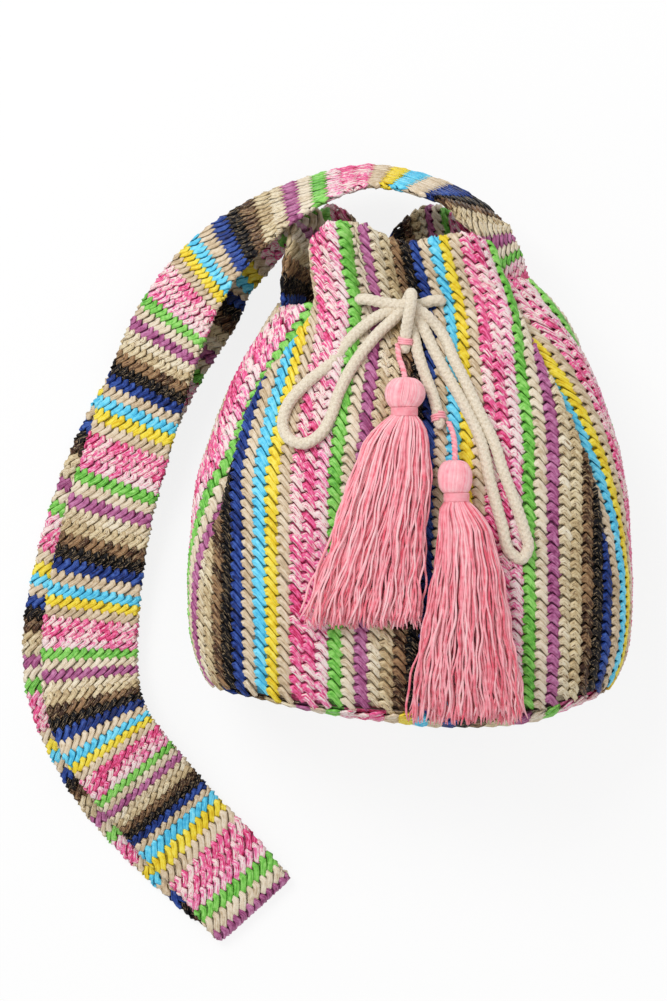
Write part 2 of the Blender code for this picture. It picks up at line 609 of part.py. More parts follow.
def make_hank(name, stations, colour, parts):
    """A tassel's hank: the tied head and the skirt of threads, as one ridged body."""
    points = []
    for number, (y, x, z, wide, thick) in enumerate(stations):
        skirt = number > NECK_STATIONS[1]
        for k in range(HANK_SIDES):
            turn = 2.0 * math.pi * k / HANK_SIDES
            ridge = 1.0 + (STRAND_RIDGE if k % 2 else -STRAND_RIDGE) * (1.0 if skirt else 0.0)
            points.append((x + wide * ridge * math.cos(turn), y, z + thick * ridge * math.sin(turn)))
    faces = [tuple(range(HANK_SIDES))]
    for ring in range(len(stations) - 1):
        for k in range(HANK_SIDES):
            a, b = ring * HANK_SIDES + k, ring * HANK_SIDES + (k + 1) % HANK_SIDES
            faces.append((a, a + HANK_SIDES, b + HANK_SIDES, b))
    first = (len(stations) - 1) * HANK_SIDES
    faces.append(tuple(range(first + HANK_SIDES - 1, first - 1, -1)))
    mesh = bpy.data.meshes.new(name)
    mesh.from_pydata(points, [], faces)
    mesh.materials.append(colour)
    made = bpy.data.objects.new(name, mesh)
    parts.objects.link(made)
    repair = bmesh.new()
    repair.from_mesh(mesh)
    bmesh.ops.recalc_face_normals(repair, faces=repair.faces)
    repair.to_mesh(mesh)
    repair.free()
    mesh.shade_smooth()
    mesh.set_sharp_from_angle(angle=math.radians(HANK_CREASE))


def make_binding(name, stations, colour, parts):
    """The thread wound round a tassel's neck: a short turned band with room for the hank."""
    low, high = stations[NECK_STATIONS[0]], stations[NECK_STATIONS[1]]
    inner = max(low[3], high[3]) + GAP
    outer = inner + BINDING_WALL
    half = BINDING_LENGTH / 2.0
    profile = ((outer, half), (outer, -half), (inner, -half), (inner, half))
    mesh = bpy.data.meshes.new(name)
    edges = [(i, (i + 1) % 4) for i in range(4)]
    mesh.from_pydata([(r, 0.0, z) for r, z in profile], edges, [])
    mesh.materials.append(colour)
    band = bpy.data.objects.new(name, mesh)
    parts.objects.link(band)
    spin = band.modifiers.new("turn", "SCREW")
    spin.steps = BINDING_STEPS
    spin.render_steps = BINDING_STEPS
    spin.use_merge_vertices = True
    spin.merge_threshold = 0.00001
    start, end = Vector((low[1], low[0], low[2])), Vector((high[1], high[0], high[2]))
    band.location = (start + end) / 2.0
    band.rotation_euler = (start - end).to_track_quat("Z", "Y").to_euler()


def build():
    """Make every piece of the bag."""
    clear_scene()
    parts = new_collection("mochila_bag")
    cutters = new_collection("cutters")
    cotton = material("cotton_cord", CORD_COLOUR, COTTON_ROUGHNESS)
    pink = material("tassel_thread", TASSEL_COLOUR, COTTON_ROUGHNESS)
    make_body(parts, cutters)
    make_base(parts)
    make_strap(parts)
    make_tube("drawstring", CORD_ROUTE, CORD_POINTS, CORD_R, CORD_ROUND, cotton, parts)
    for name, stations in TASSELS.items():
        make_hank(name + "_hank", stations, pink, parts)
        make_binding(name + "_binding", stations, pink, parts)
        make_tube(name + "_loop", LOOPS[name], LOOP_POINTS, LOOP_R, LOOP_ROUND, pink, parts)


build()
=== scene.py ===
import math

import bpy
import numpy as np
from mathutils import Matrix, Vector


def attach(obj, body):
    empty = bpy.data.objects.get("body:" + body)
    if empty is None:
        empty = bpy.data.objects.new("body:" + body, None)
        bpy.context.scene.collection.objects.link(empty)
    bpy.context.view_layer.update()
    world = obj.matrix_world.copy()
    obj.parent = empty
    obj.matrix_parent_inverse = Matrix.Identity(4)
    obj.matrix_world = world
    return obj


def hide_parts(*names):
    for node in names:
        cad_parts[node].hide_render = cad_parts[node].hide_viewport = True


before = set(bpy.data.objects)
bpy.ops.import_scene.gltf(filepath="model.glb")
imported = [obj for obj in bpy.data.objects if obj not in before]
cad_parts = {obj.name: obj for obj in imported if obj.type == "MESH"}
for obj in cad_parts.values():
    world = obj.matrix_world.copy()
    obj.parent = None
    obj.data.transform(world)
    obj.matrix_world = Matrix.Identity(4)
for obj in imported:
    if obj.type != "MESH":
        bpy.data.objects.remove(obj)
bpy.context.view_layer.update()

# The view: the bag lies on its back on a white sheet and is photographed from straight above with a
# long lens. The lens and height give 1.68 pixels per mm at the middle height of the bag.
CAMERA_HEIGHT = 2.07
CAMERA_X = -0.0455
FRAME_WIDTH = 0.397          # metres across the picture at FOCUS_DROP below the camera
FOCUS_DROP = 2.0
SENSOR = 36.0

camera_data = bpy.data.cameras.new("studio_camera")
camera_data.sensor_width = SENSOR
camera_data.sensor_fit = "HORIZONTAL"
camera_data.lens = SENSOR * FOCUS_DROP / FRAME_WIDTH
camera = bpy.data.objects.new("studio_camera", camera_data)
camera.location = (CAMERA_X, 0.0, CAMERA_HEIGHT)
bpy.context.scene.collection.objects.link(camera)
bpy.context.scene.camera = camera
bpy.context.scene.view_settings.view_transform = "Standard"


# The drawstring: a braided natural cotton cord, 6.5 mm thick. It runs round inside the neck, comes out
# at two holes in the front and is tied there in a bow. Each half of the bow is a piece, from its hole to
# its tassel, and the hidden run inside the neck is the third.
CORD_R = 0.00325
LEFT_HOLE = (-0.0301, 0.1167, 0.115)
RIGHT_HOLE = (0.0172, 0.1161, 0.114)
BRAID_ENDS = 8               # strands that show round the cord
BRAID_PITCH = 0.0145         # one full turn of a strand
BRAID_RISE = 0.00042         # how far a strand stands out
CORD_STEP = 0.0007           # spacing of the cord's rings
CORD_SIDES = 24
CORD_END = 0.55              # share of its radius at the very end


def metres(rows, columns=None):
    """A table in metres from one in millimetres, or with only its first columns in millimetres."""
    table = np.array(rows, dtype=float)
    table[:, :columns] /= 1000.0
    return table


# Each route is measured on the photo and set above the cloth: x, y and z in mm
LEFT_BOW = metres((
    (17.2, 116.1, 112), (16.5, 116.2, 116), (12, 116, 118.5), (6, 114, 119.2), (-2, 112.5, 119.5),
    (-10, 111, 120.5), (-20.3, 106.5, 121.5), (-32.5, 97, 123), (-47.5, 79, 127), (-62.6, 66.3, 129.5),
    (-72.4, 54.1, 130), (-74.7, 43.1, 131.5), (-69.5, 34.4, 137.5), (-62.6, 32.7, 140),
    (-53.3, 37.9, 140.5), (-47.5, 47.2, 138), (-42.3, 62.2, 134.5), (-34.2, 78, 130), (-25.5, 90, 126.5),
    (-18, 98.5, 124.5), (-11, 105, 123.5), (-5, 112, 123), (-2, 117.2, 124), (-0.8, 119.6, 127.5),
    (-0.5, 117.6, 132.2), (-1.2, 112, 133.8), (-2.4, 105, 133), (-3.6, 98, 131.2), (-4.2, 91, 130),
    (-4.2, 85, 130.2),
))
RIGHT_BOW = metres((
    (-30.2, 116.7, 112), (-29.8, 116.9, 116), (-26, 116.8, 119), (-18, 115, 120.5), (-9, 113.5, 122.5),
    (0, 112, 125.8), (7, 108, 126.2), (13.3, 102, 125), (19, 93.5, 126), (23.8, 81.9, 130.5),
    (30.6, 68, 135), (37.6, 52.4, 139), (47, 32.1, 143.5), (52, 16, 145.5), (58, 0, 146.5),
    (64, -18, 146), (66, -27, 146), (62, -33.5, 146.5), (56, -30, 147.5), (51, -14.2, 148.5),
    (44.5, 9.6, 147.5), (38.7, 35, 143.5), (29, 56, 138.5), (19, 74, 133), (11.5, 89, 128.5),
    (7, 99, 126.2), (3.5, 106, 124.6), (0.5, 108.5, 123.6), (-0.5, 105, 123.2), (0.8, 97.5, 125),
    (3, 86, 129.8), (7, 73, 133.5), (11.8, 60, 138), (14.5, 49, 141.5), (15.5, 41, 143.5),
))
NECK_RUN = metres((
    (17.2, 116.1, 111), (18, 116.1, 106), (21, 116.5, 98.5), (30, 117, 93.5), (42, 117, 89),
    (53, 117, 79), (59, 117, 65), (59, 117, 52), (51, 117, 39), (37, 117, 30), (18, 117, 27),
    (0, 117, 26.5), (-19, 117, 27), (-35, 117, 31), (-47, 117, 41), (-52, 117, 54), (-51, 117, 68),
    (-47, 117, 83), (-40, 117, 92), (-33.5, 116.7, 98.5), (-30.8, 116.7, 106), (-30.2, 116.7, 111),
))


def blend_between(low, slope_low, high, slope_high, t):
    """The values at t from 0 to 1 between two given ones with their slopes."""
    return (low * (1 + 2 * t) * (1 - t) ** 2 + slope_low * t * (1 - t) ** 2
            + high * t * t * (3 - 2 * t) + slope_high * t * t * (t - 1))


def smooth_curve(points, step):
    """Points at an even spacing along a smooth curve through the points given, with its length."""
    given = np.asarray(points)
    way = np.concatenate([[0.0], np.cumsum(np.linalg.norm(np.diff(given[:, :3], axis=0), axis=1))])
    slopes = np.gradient(given, way, axis=0)
    fine = np.linspace(0.0, way[-1], 16 * len(given))
    i = np.clip(np.searchsorted(way, fine, side="right") - 1, 0, len(way) - 2)
    span = (way[i + 1] - way[i])[:, None]
    t = ((fine - way[i]) / span[:, 0])[:, None]
    line = blend_between(given[i], slopes[i] * span, given[i + 1], slopes[i + 1] * span, t)
    along = np.concatenate([[0.0], np.cumsum(np.linalg.norm(np.diff(line[:, :3], axis=0), axis=1))])
    count = max(4, int(round(along[-1] / step)) + 1)
    even = np.linspace(0.0, along[-1], count)
    return np.column_stack([np.interp(even, along, line[:, k]) for k in range(line.shape[1])]), along[-1]


def frames_along(line):
    """For each point of a line: the way ahead and two directions across it that don't twist."""
    ahead = np.gradient(line, axis=0)
    ahead /= np.linalg.norm(ahead, axis=1)[:, None]
    side = np.cross(ahead[0], (0.0, 0.0, 1.0))
    if np.linalg.norm(side) < 0.1:
        side = np.cross(ahead[0], (1.0, 0.0, 0.0))
    sides = np.empty_like(line)
    for i, way in enumerate(ahead):
        side = side - way * side.dot(way)
        side = side / np.linalg.norm(side)
        sides[i] = side
    return ahead, sides, np.cross(sides, ahead)


def mesh_piece(name, points, faces, materials, slots=None):
    """A smooth mesh piece from its points and faces, riding on the bag."""
    mesh = bpy.data.meshes.new(name)
    mesh.from_pydata(points.tolist(), [], faces)
    for finish in materials:
        mesh.materials.append(finish)
    if slots is not None:
        mesh.polygons.foreach_set("material_index", np.asarray(slots, dtype=np.int32))
    mesh.polygons.foreach_set("use_smooth", np.full(len(mesh.polygons), True))
    mesh.update()
    piece = bpy.data.objects.new(name, mesh)
    bpy.context.scene.collection.objects.link(piece)
    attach(piece, "root")
    return piece


def tube_points(line, side, up, radius, turn):
    """Points round a line at each turn, at a radius for each point of the line or each point round it."""
    return (line[:, None, :] + side[:, None, :] * (radius * np.cos(turn))[:, :, None]
            + up[:, None, :] * (radius * np.sin(turn))[:, :, None]).reshape(-1, 3)


def tube_faces(rings, sides, first=0):
    """The faces of a tube of so many rings, closed at both ends."""
    r = np.arange(rings - 1)[:, None] * sides
    k = np.arange(sides)[None, :]
    n = (k + 1) % sides
    quads = np.stack([r + k, r + n, r + sides + n, r + sides + k], axis=-1).reshape(-1, 4) + first
    last = (rings - 1) * sides + first
    ends = [tuple(range(first + sides - 1, first - 1, -1)), tuple(range(last, last + sides))]
    return [tuple(q) for q in quads.tolist()] + ends


def braided_tube(name, route, finish):
    """A cord of crossing strands along its route, and the line that it follows."""
    line, length = smooth_curve(route, CORD_STEP)
    _, side, up = frames_along(line)
    turn = np.linspace(0.0, 2.0 * math.pi, CORD_SIDES, endpoint=False)
    way = np.linspace(0.0, length, len(line))[:, None]
    lead = 2.0 * math.pi * way / BRAID_PITCH
    right = np.abs(np.cos(BRAID_ENDS / 4 * (turn[None, :] + lead)))
    left = np.abs(np.cos(BRAID_ENDS / 4 * (turn[None, :] - lead)))
    radius = CORD_R + BRAID_RISE * (2.0 * np.maximum(right, left) ** 2 - 1.4)
    ends = np.minimum(way, length - way)
    radius = radius * np.clip(CORD_END + ends / (2.0 * CORD_R), 0.0, 1.0)
    points = tube_points(line, side, up, radius, turn)
    return mesh_piece(name, points, tube_faces(len(line), CORD_SIDES), [finish]), line


def new_finish(name, roughness):
    """A Principled material with nothing on its colour yet, and its nodes and shader."""
    finish = bpy.data.materials.new(name)
    finish.use_nodes = True
    nodes = finish.node_tree.nodes
    shader = nodes["Principled BSDF"]
    shader.inputs["Roughness"].default_value = roughness
    return finish, nodes, shader


def set_inputs(node, values):
    """Give each input of a node its value, or the output that feeds it."""
    for key, value in values.items():
        if isinstance(value, bpy.types.NodeSocket):
            node.id_data.links.new(value, node.inputs[key])
        else:
            node.inputs[key].default_value = value


def add_node(nodes, kind, values, operation=None, data_type=None):
    """A new node with its inputs set."""
    node = nodes.new(kind)
    if operation:
        node.operation = operation
    if data_type:
        node.data_type = data_type
    set_inputs(node, values)
    return node


def noise(nodes, scale, detail, place=None):
    """A noise texture's value, on the piece's own coordinates unless a place is given."""
    place = place or nodes.new("ShaderNodeTexCoord").outputs["Object"]
    values = {"Scale": scale, "Detail": detail, "Vector": place}
    return add_node(nodes, "ShaderNodeTexNoise", values).outputs["Fac"]


def ramp(nodes, value, stops):
    """The colour that stops of place, red, green and blue give at a value."""
    colours = add_node(nodes, "ShaderNodeValToRGB", {"Fac": value})
    bar = colours.color_ramp
    while len(bar.elements) < len(stops):
        bar.elements.new(0.5)
    for element, (place, *colour) in zip(bar.elements, stops):
        element.position = place
        element.color = (*colour, 1.0)
    return colours.outputs["Color"]


def bump(nodes, shader, height, distance, strength):
    """Raise the surface by a height, over a distance in metres."""
    values = {"Height": height, "Distance": distance, "Strength": strength}
    raised = add_node(nodes, "ShaderNodeBump", values)
    set_inputs(shader, {"Normal": raised.outputs["Normal"]})


cotton, nodes, shader = new_finish("natural_cotton", 0.88)
fibre = noise(nodes, 900.0, 4.0)
shades = ((0.3, 0.62, 0.53, 0.39), (0.5, 0.75, 0.66, 0.52), (0.72, 0.84, 0.77, 0.64))
set_inputs(shader, {"Base Color": ramp(nodes, fibre, shades), "Sheen Weight": 0.25, "Sheen Roughness": 0.6})
bump(nodes, shader, fibre, 0.0004, 0.8)

bow_left, bow_left_line = braided_tube("drawstring_left_bow", LEFT_BOW, cotton)
bow_right, bow_right_line = braided_tube("drawstring_right_bow", RIGHT_BOW, cotton)
neck_run = braided_tube("drawstring_neck_run", NECK_RUN, cotton)[0]
for cord in (bow_left, bow_right, neck_run):
    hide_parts("drawstring")


# The tassels: pink cotton threads doubled over a twisted loop, wound round with the same thread to make
# a neck, and cut off below. Each is a hank, its winding and its loop. They hang from the cord's ends.
SKIRT_THREADS = 310
THREAD_R = 0.00066
THREAD_SIDES = 5
THREAD_POINTS = 30
THREAD_CUT = 0.0032          # how much the threads' lengths differ
THREAD_SHORT, THREAD_LONG = -0.0045, 0.009   # and by how much at most
THREAD_STRAY = 0.0026        # how far a thread's end strays sideways
LONG_BEND, SHORT_BEND, THREAD_LIFT = 0.0014, 0.0007, 0.0011  # how far its bends reach
HEAD_THREADS = 104
HEAD_STEP = 0.0016
HEAD_SLANT = 0.35            # how far a thread of the head turns round it, in radians
WINDING_TURNS = 6
WINDING_R = 0.0005
WINDING_SIDES = 6
TURN_POINTS = 28             # points of one turn of the winding
PLY_PITCH = 0.005
TASSELS = {
    "tassel_a": metres((
        (70, -4.5, 147, 2, 2), (69, -4.5, 147, 6.5, 6), (65.5, -4.5, 147, 10, 9),
        (60, -4.5, 147.5, 11, 10), (55.5, -4.7, 148.5, 9, 8.5), (53, -5, 149.5, 6.6, 6.6),
        (48, -5, 149.5, 6.6, 6.6), (43, -6.6, 151, 13, 9), (33, -9.5, 152.5, 18, 9.5),
        (10, -13, 157, 22.5, 9), (-20, -19.5, 158.5, 26, 8), (-50, -26, 155.5, 30, 7),
        (-69, -29.5, 154, 32, 5.5),
    )),
    "tassel_b": metres((
        (22.5, 23.5, 157, 2, 2), (21.5, 23.5, 157, 6, 5.6), (18, 23.6, 157, 8.5, 8),
        (12, 23.8, 157.5, 9.2, 8.8), (7, 24, 158.5, 8.2, 7.8), (4, 24.4, 159, 6.2, 6.2),
        (-1, 24.4, 159, 6.2, 6.2), (-6, 25.6, 160, 11, 8.5), (-16, 29, 161, 14.5, 9.2),
        (-40, 30.8, 160.5, 18.8, 9), (-70, 30.5, 158.5, 23.5, 8), (-100, 30.5, 154, 29, 7),
        (-124, 30.8, 146.5, 31.5, 5.5),
    )),
}
NECK_STATION = 5             # the station of a hank where its winding starts
# Each tassel hangs by its twisted stem from a few turns of thread round the end of the cord
STEM_R = 0.001               # one of the two plies of a stem
PLY_OUT = 0.0008             # how far a ply runs beside the stem's middle
STEM_STEP = 0.0006
STEM_INSIDE = 8              # points of a stem that lie inside the cord's end
STEMS = {
    "tassel_a": metres((
        (-8.5, 90, 130.5), (-8, 83, 134.5), (-5.8, 76, 142), (-4.7, 70, 147), (-4.6, 60, 147.5),
        (-5, 48, 149.5),
    )),
    "tassel_b": metres((
        (20.5, 45, 143), (22.8, 38, 148), (23.6, 30, 154), (23.6, 22, 157), (23.8, 12, 157.5),
        (24.4, -3, 159),
    )),
}
TIE_TURNS = 3
TIE_PITCH = 0.0014
TIE_R = 0.0007
TIE_POINTS = 30              # points of one turn of the tie
TIE_BACK = 0.0052            # how far before the cord's end the tie is


def bends(share, fewest, more):
    """A wave along a thread, with its own number of bends and its own start."""
    return np.sin(share * (fewest + more * draw.random()) + 6.3 * draw.random())


def thread_bundle(name, lines, radii, sides, finish, values):
    """Many round threads as one mesh, each along its own line, with one value for each thread."""
    points = []
    faces = []
    each = []
    turn = np.linspace(0.0, 2.0 * math.pi, sides, endpoint=False)
    start = 0
    for line, radius, value in zip(lines, radii, values):
        _, side, up = frames_along(line)
        swell = np.full((len(line), 1), radius)
        swell[-1] *= 0.5
        points.append(tube_points(line, side, up, swell, turn))
        faces += tube_faces(len(line), sides, start)
        start += len(line) * sides
        each += [value] * (len(line) * sides)
    piece = mesh_piece(name, np.concatenate(points), faces, [finish])
    spread = piece.data.attributes.new("thread", "FLOAT", "POINT")
    spread.data.foreach_set("value", np.array(each, dtype=np.float32))
    return piece


# Dyed cotton thread: matt, a little lighter and darker from thread to thread at random, with painted shade
# darkening the threads deep inside a hank
pink_thread, nodes, shader = new_finish("pink_thread", 0.8)
each = nodes.new("ShaderNodeAttribute")
each.attribute_name = "thread"
share = add_node(nodes, "ShaderNodeMath", {0: each.outputs["Fac"], 1: 0.5}, "MULTIPLY")
values = {0: noise(nodes, 260.0, 2.0), 1: 0.55, 2: share.outputs["Value"]}
total = add_node(nodes, "ShaderNodeMath", values, "MULTIPLY_ADD")
shades = ((0.22, 0.8, 0.09, 0.15), (0.48, 0.94, 0.36, 0.42), (0.78, 0.98, 0.58, 0.61))
set_inputs(shader, {"Base Color": ramp(nodes, total.outputs["Value"], shades),
                    "Sheen Weight": 0.3, "Sheen Roughness": 0.5})
bump(nodes, shader, noise(nodes, 2200.0, 2.0), 0.0002, 0.6)

draw = np.random.default_rng(71)
tassel_pieces = {}
for name, table in TASSELS.items():
    lines, radii, values = [], [], []
    neck_y = table[NECK_STATION, 0]
    end_y = table[-1, 0]
    for k in range(SKIRT_THREADS):
        around = 2.0 * math.pi * draw.random()
        deep = math.sqrt(0.25 + 0.75 * draw.random())
        reach = np.clip(draw.normal(0.0, THREAD_CUT), THREAD_SHORT, THREAD_LONG)
        y = np.linspace(neck_y, end_y + reach, THREAD_POINTS)
        stay = np.clip(y, end_y, None)
        share = (neck_y - y) / (neck_y - end_y)
        order = np.argsort(table[:, 0])
        x, z, wide, thick = (np.interp(stay, table[order, 0], table[order, i]) for i in (1, 2, 3, 4))
        loose = LONG_BEND * share * bends(share, 9.0, 11.0)
        loose += SHORT_BEND * np.sqrt(share) * bends(share, 26.0, 14.0)
        stray = THREAD_STRAY * draw.normal() * share ** 2
        lift = THREAD_LIFT * share * bends(share, 10.0, 14.0)
        lines.append(np.column_stack([
            x + wide * deep * math.cos(around) * 1.04 + loose + stray, y,
            z + thick * deep * math.sin(around) + lift,
        ]))
        radii.append(THREAD_R * (0.85 + 0.3 * draw.random()))
        # Painted shade: the deeper a thread lies inside the hank, the lower its value and the darker its colour
        values.append(draw.random() * min(1.0, 1.6 * deep - 0.45))
    for k in range(HEAD_THREADS):
        around = 2.0 * math.pi * k / HEAD_THREADS
        row = table[: NECK_STATION + 1]
        curve = np.column_stack([
            row[:, 1] + row[:, 3] * math.cos(around), row[:, 0], row[:, 2] + row[:, 4] * math.sin(around)
        ])
        curve = smooth_curve(curve, HEAD_STEP)[0]
        slant = HEAD_SLANT * np.linspace(-0.5, 0.5, len(curve)) + 0.02 * draw.normal()
        offset_x, offset_z = curve[:, 0] - row[0, 1], curve[:, 2] - row[0, 2]
        curve[:, 0] = row[0, 1] + offset_x * np.cos(slant) - offset_z * np.sin(slant)
        curve[:, 2] = row[0, 2] + offset_x * np.sin(slant) + offset_z * np.cos(slant)
        lines.append(curve)
        radii.append(THREAD_R * (0.85 + 0.25 * draw.random()))
        values.append(0.35 + 0.5 * draw.random())
    hank = thread_bundle(name + "_hank_threads", lines, radii, THREAD_SIDES, pink_thread, values)
    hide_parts(name + "_hank")
    top, low = table[NECK_STATION], table[NECK_STATION + 1]
    turns = np.linspace(0.0, 2.0 * math.pi * WINDING_TURNS, WINDING_TURNS * TURN_POINTS)
    rise = np.linspace(top[0] - 0.0002, low[0] + 0.0002, len(turns))
    round_neck = top[3] + WINDING_R * 1.6
    wound = np.column_stack([
        top[1] + round_neck * np.cos(turns), rise, top[2] + round_neck * np.sin(turns)
    ])
    winding = thread_bundle(name + "_winding", [wound], [WINDING_R], WINDING_SIDES, pink_thread, [0.45])
    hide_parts(name + "_binding")
    tassel_pieces[name] = [hank, winding]

# Each half of the bow runs on as the stem of its tassel, down to the tassel's neck
HALVES = {"tassel_a": (bow_left, bow_left_line, RIGHT_HOLE),
          "tassel_b": (bow_right, bow_right_line, LEFT_HOLE)}
for name, (half_bow, line, hole) in HALVES.items():
    stem_line, stem_length = smooth_curve(STEMS[name], STEM_STEP)
    _, side, up = frames_along(stem_line)
    plies = []
    for start in (0.0, math.pi):
        turn = (start + 2.0 * math.pi * np.linspace(0.0, stem_length / PLY_PITCH, len(stem_line)))[:, None]
        plies.append(stem_line + (side * np.cos(turn) + up * np.sin(turn)) * PLY_OUT)
    stem = thread_bundle(name + "_stem", plies, [STEM_R, STEM_R], 8, pink_thread, [0.35, 0.6])
    _, cord_side, cord_up = frames_along(line)
    first = len(line) - 1 - int((TIE_BACK + TIE_TURNS * TIE_PITCH) / CORD_STEP)
    turn = np.linspace(0.0, 2.0 * math.pi * TIE_TURNS, TIE_TURNS * TIE_POINTS)
    at = np.clip(first + turn / (2.0 * math.pi) * TIE_PITCH / CORD_STEP, 0, len(line) - 1)
    centre = np.column_stack([np.interp(at, np.arange(len(line)), line[:, k]) for k in range(3)])
    near = np.round(at).astype(int)
    wide = CORD_R + TIE_R * 0.8
    ring = (centre + cord_side[near] * (wide * np.cos(turn))[:, None]
            + cord_up[near] * (wide * np.sin(turn))[:, None])
    tie = thread_bundle(name + "_tie", [ring], [TIE_R], 8, pink_thread, [0.5])
    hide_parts(name + "_loop")
    tassel_pieces[name].append(tie)
    with bpy.context.temp_override(active_object=half_bow, selected_editable_objects=[half_bow, stem]):
        bpy.ops.object.join()
    route = np.concatenate([line, stem_line[STEM_INSIDE:]])
    whole = float(np.linalg.norm(np.diff(route, axis=0), axis=1).sum())


# The woven body: one shell of glossy paper yarn, its stripes running from base to mouth. Each column is a
# chain of slanting stitches, bulb at its left edge and a fat bar down to the right. Four pleats and two
# soft dips draw the neck in, and the rim is turned over to the inside.
PITCH = 0.00747
ROW = 0.0058                 # spacing of the stitches along a column
COLUMNS = 90
MIDDLE = 14.6                # the column in the middle of the front
SQUARENESS = 2.5             # power of the rounded section, where 2 is an ellipse
# The body's section at stations along y: half width, top, underside and middle, in mm
BODY_PROFILE = metres((
    (-126, 108.5, 128, 1, 0), (-112, 116.5, 136, -2, 0), (-102, 122.2, 140, -4, 0),
    (-90, 127.2, 143, -6, 0), (-74, 130, 145, -8, 0), (-50, 130.8, 147, -8, 0), (-20, 129, 148, -8, 0),
    (10, 126, 146, -8, 0), (36, 119.5, 141, -8, 1.5), (73, 106, 130, -4, 3), (100, 92, 120, 1, 4),
    (118, 80, 113, 8, 3), (135, 68, 112, 10, -1), (160, 60, 114, 10, -6), (178, 56, 116, 10, -9),
))
PANEL_PITCH = metres((       # width of the front's columns at y
    (-126, 7.47), (10, 7.47), (47, 7.2), (80, 6.6), (118, 6), (178, 5.6),
))
# Where each pleat starts and ends: y, and the columns of its two edges there
PLEATS = {
    "front_left": (
        (-0.062, -3.0, -3.0), (-0.03, -3.5, -2.6), (0.004, -4.5, -0.6), (0.025, -5.7, 0.0),
        (0.05, -6.0, 0.3), (0.073, -6.0, 1.0), (0.092, -6.0, 2.6), (0.113, -6.0, 4.5), (0.178, -6.0, 5.0),
    ),
    "front_right": (
        (-0.048, 31.0, 31.0), (-0.02, 30.3, 31.0), (0.01, 29.3, 31.4), (0.035, 28.0, 31.8),
        (0.056, 27.0, 32.2), (0.087, 25.5, 33.2), (0.115, 24.0, 34.6), (0.178, 23.6, 34.6),
    ),
    "back_right": ((0.045, 48.0, 48.0), (0.073, 47.5, 48.5), (0.111, 47.0, 49.5), (0.178, 47.0, 49.5)),
    "back_left": ((0.045, 72.0, 72.0), (0.073, 71.5, 72.5), (0.111, 71.0, 73.0), (0.178, 71.0, 73.0)),
}
PLEAT_MOUTH = 0.0006         # half the run that a whole pleat takes on the outside
PLEAT_FULL = 3.0             # columns that a pleat hides when it is fully formed
# A pleat's section from the panel's edge round to the side: share of its columns, how far it runs back
# under the panel, how deep it lies
PLEAT_SECTION = (
    (0.0, 0.0, 0.0), (0.05, -0.0004, 0.0034), (0.15, 0.003, 0.006), (0.5, 0.011, 0.0078),
    (0.85, 0.003, 0.008), (0.95, 0.0004, 0.0066), (1.0, 0.0, 0.0054),
)
PLEAT_FADE = 1.6             # columns over which the side comes up again beside a pleat
EDGE_RISE = 0.0022           # how far the panel's edge stands out
EDGE_FADE = 1.5              # columns over which it does
# The rim: column and y
RIM = (
    (-8.0, 0.113), (-6.0, 0.114), (0.0, 0.122), (3.0, 0.138), (5.0, 0.151), (8.0, 0.1605), (11.0, 0.157),
    (14.5, 0.1485), (18.0, 0.151), (21.0, 0.153), (23.0, 0.15), (26.0, 0.14), (31.0, 0.129),
    (41.0, 0.129), (47.0, 0.146), (51.0, 0.168), (55.5, 0.1785), (59.5, 0.166), (61.5, 0.153),
    (63.5, 0.166), (67.0, 0.1775), (70.5, 0.164), (74.0, 0.134), (77.0, 0.115), (82.0, 0.113),
)
# Lobes of the gathered front: column, width in columns, height, lowest and highest y of the fade
LOBES = (
    (7.0, 2.4, 0.0055, 0.05, 0.115), (9.5, 0.8, -0.006, 0.08, 0.115), (14.3, 2.8, -0.006, 0.085, 0.125),
    (21.3, 2.4, 0.005, 0.055, 0.115), (56.0, 3.0, 0.004, 0.06, 0.12), (66.5, 3.0, 0.004, 0.06, 0.12),
)
# The seam with the base, x and y: the base sags lowest to the right of the middle
SEAM = metres((
    (-130, -103), (-115, -107), (-105, -109.5), (-91, -112), (-65, -116.5), (-40, -119), (-7, -121),
    (16, -122.8), (51, -122.8), (75, -120.5), (88, -116.5), (100, -113), (115, -108.5), (130, -105),
))
SEAM_Y = -0.118              # where the seam lies on the whole
HEM_R = 0.0022               # radius of the turned rim
HEM_DEPTH = 0.042            # how far the turned cloth reaches down inside
CELLS = 4                    # grid steps for each column
CLOTH_STEP = 0.002           # grid steps along a column
CLOTH_BEFORE = 0.003         # how far the cloth's grid starts before the base seam
CLOTH_END = 0.36             # and how far it runs on past it
GRID_FIRST, GRID_LAST, GRID_STEP = -0.1285, 0.1805, 0.0025
SECTION_POINTS = 360
NORMAL_REACH = 0.0012        # how far to each side the outward direction is taken
WAVE = 0.0006                # height of the small waves all over
WAVE_TURNS = (0.7, 31.0)     # how fast they turn from column to column and along y
RIPPLE = 0.0012              # height of the larger ones where the neck is drawn in
RIPPLE_TURNS = ((1.9, 80.0), (0.83, -47.0))
DRAWN_FROM, DRAWN_OVER = 0.02, 0.1   # y where the neck starts to be drawn in, and over what length
WAVE_FADE, RIPPLE_FADE = 0.05, 0.03  # heights below which they fade towards the flat underside
UNDERSIDE = 0.0021           # height of the cloth where it lies on its stitches


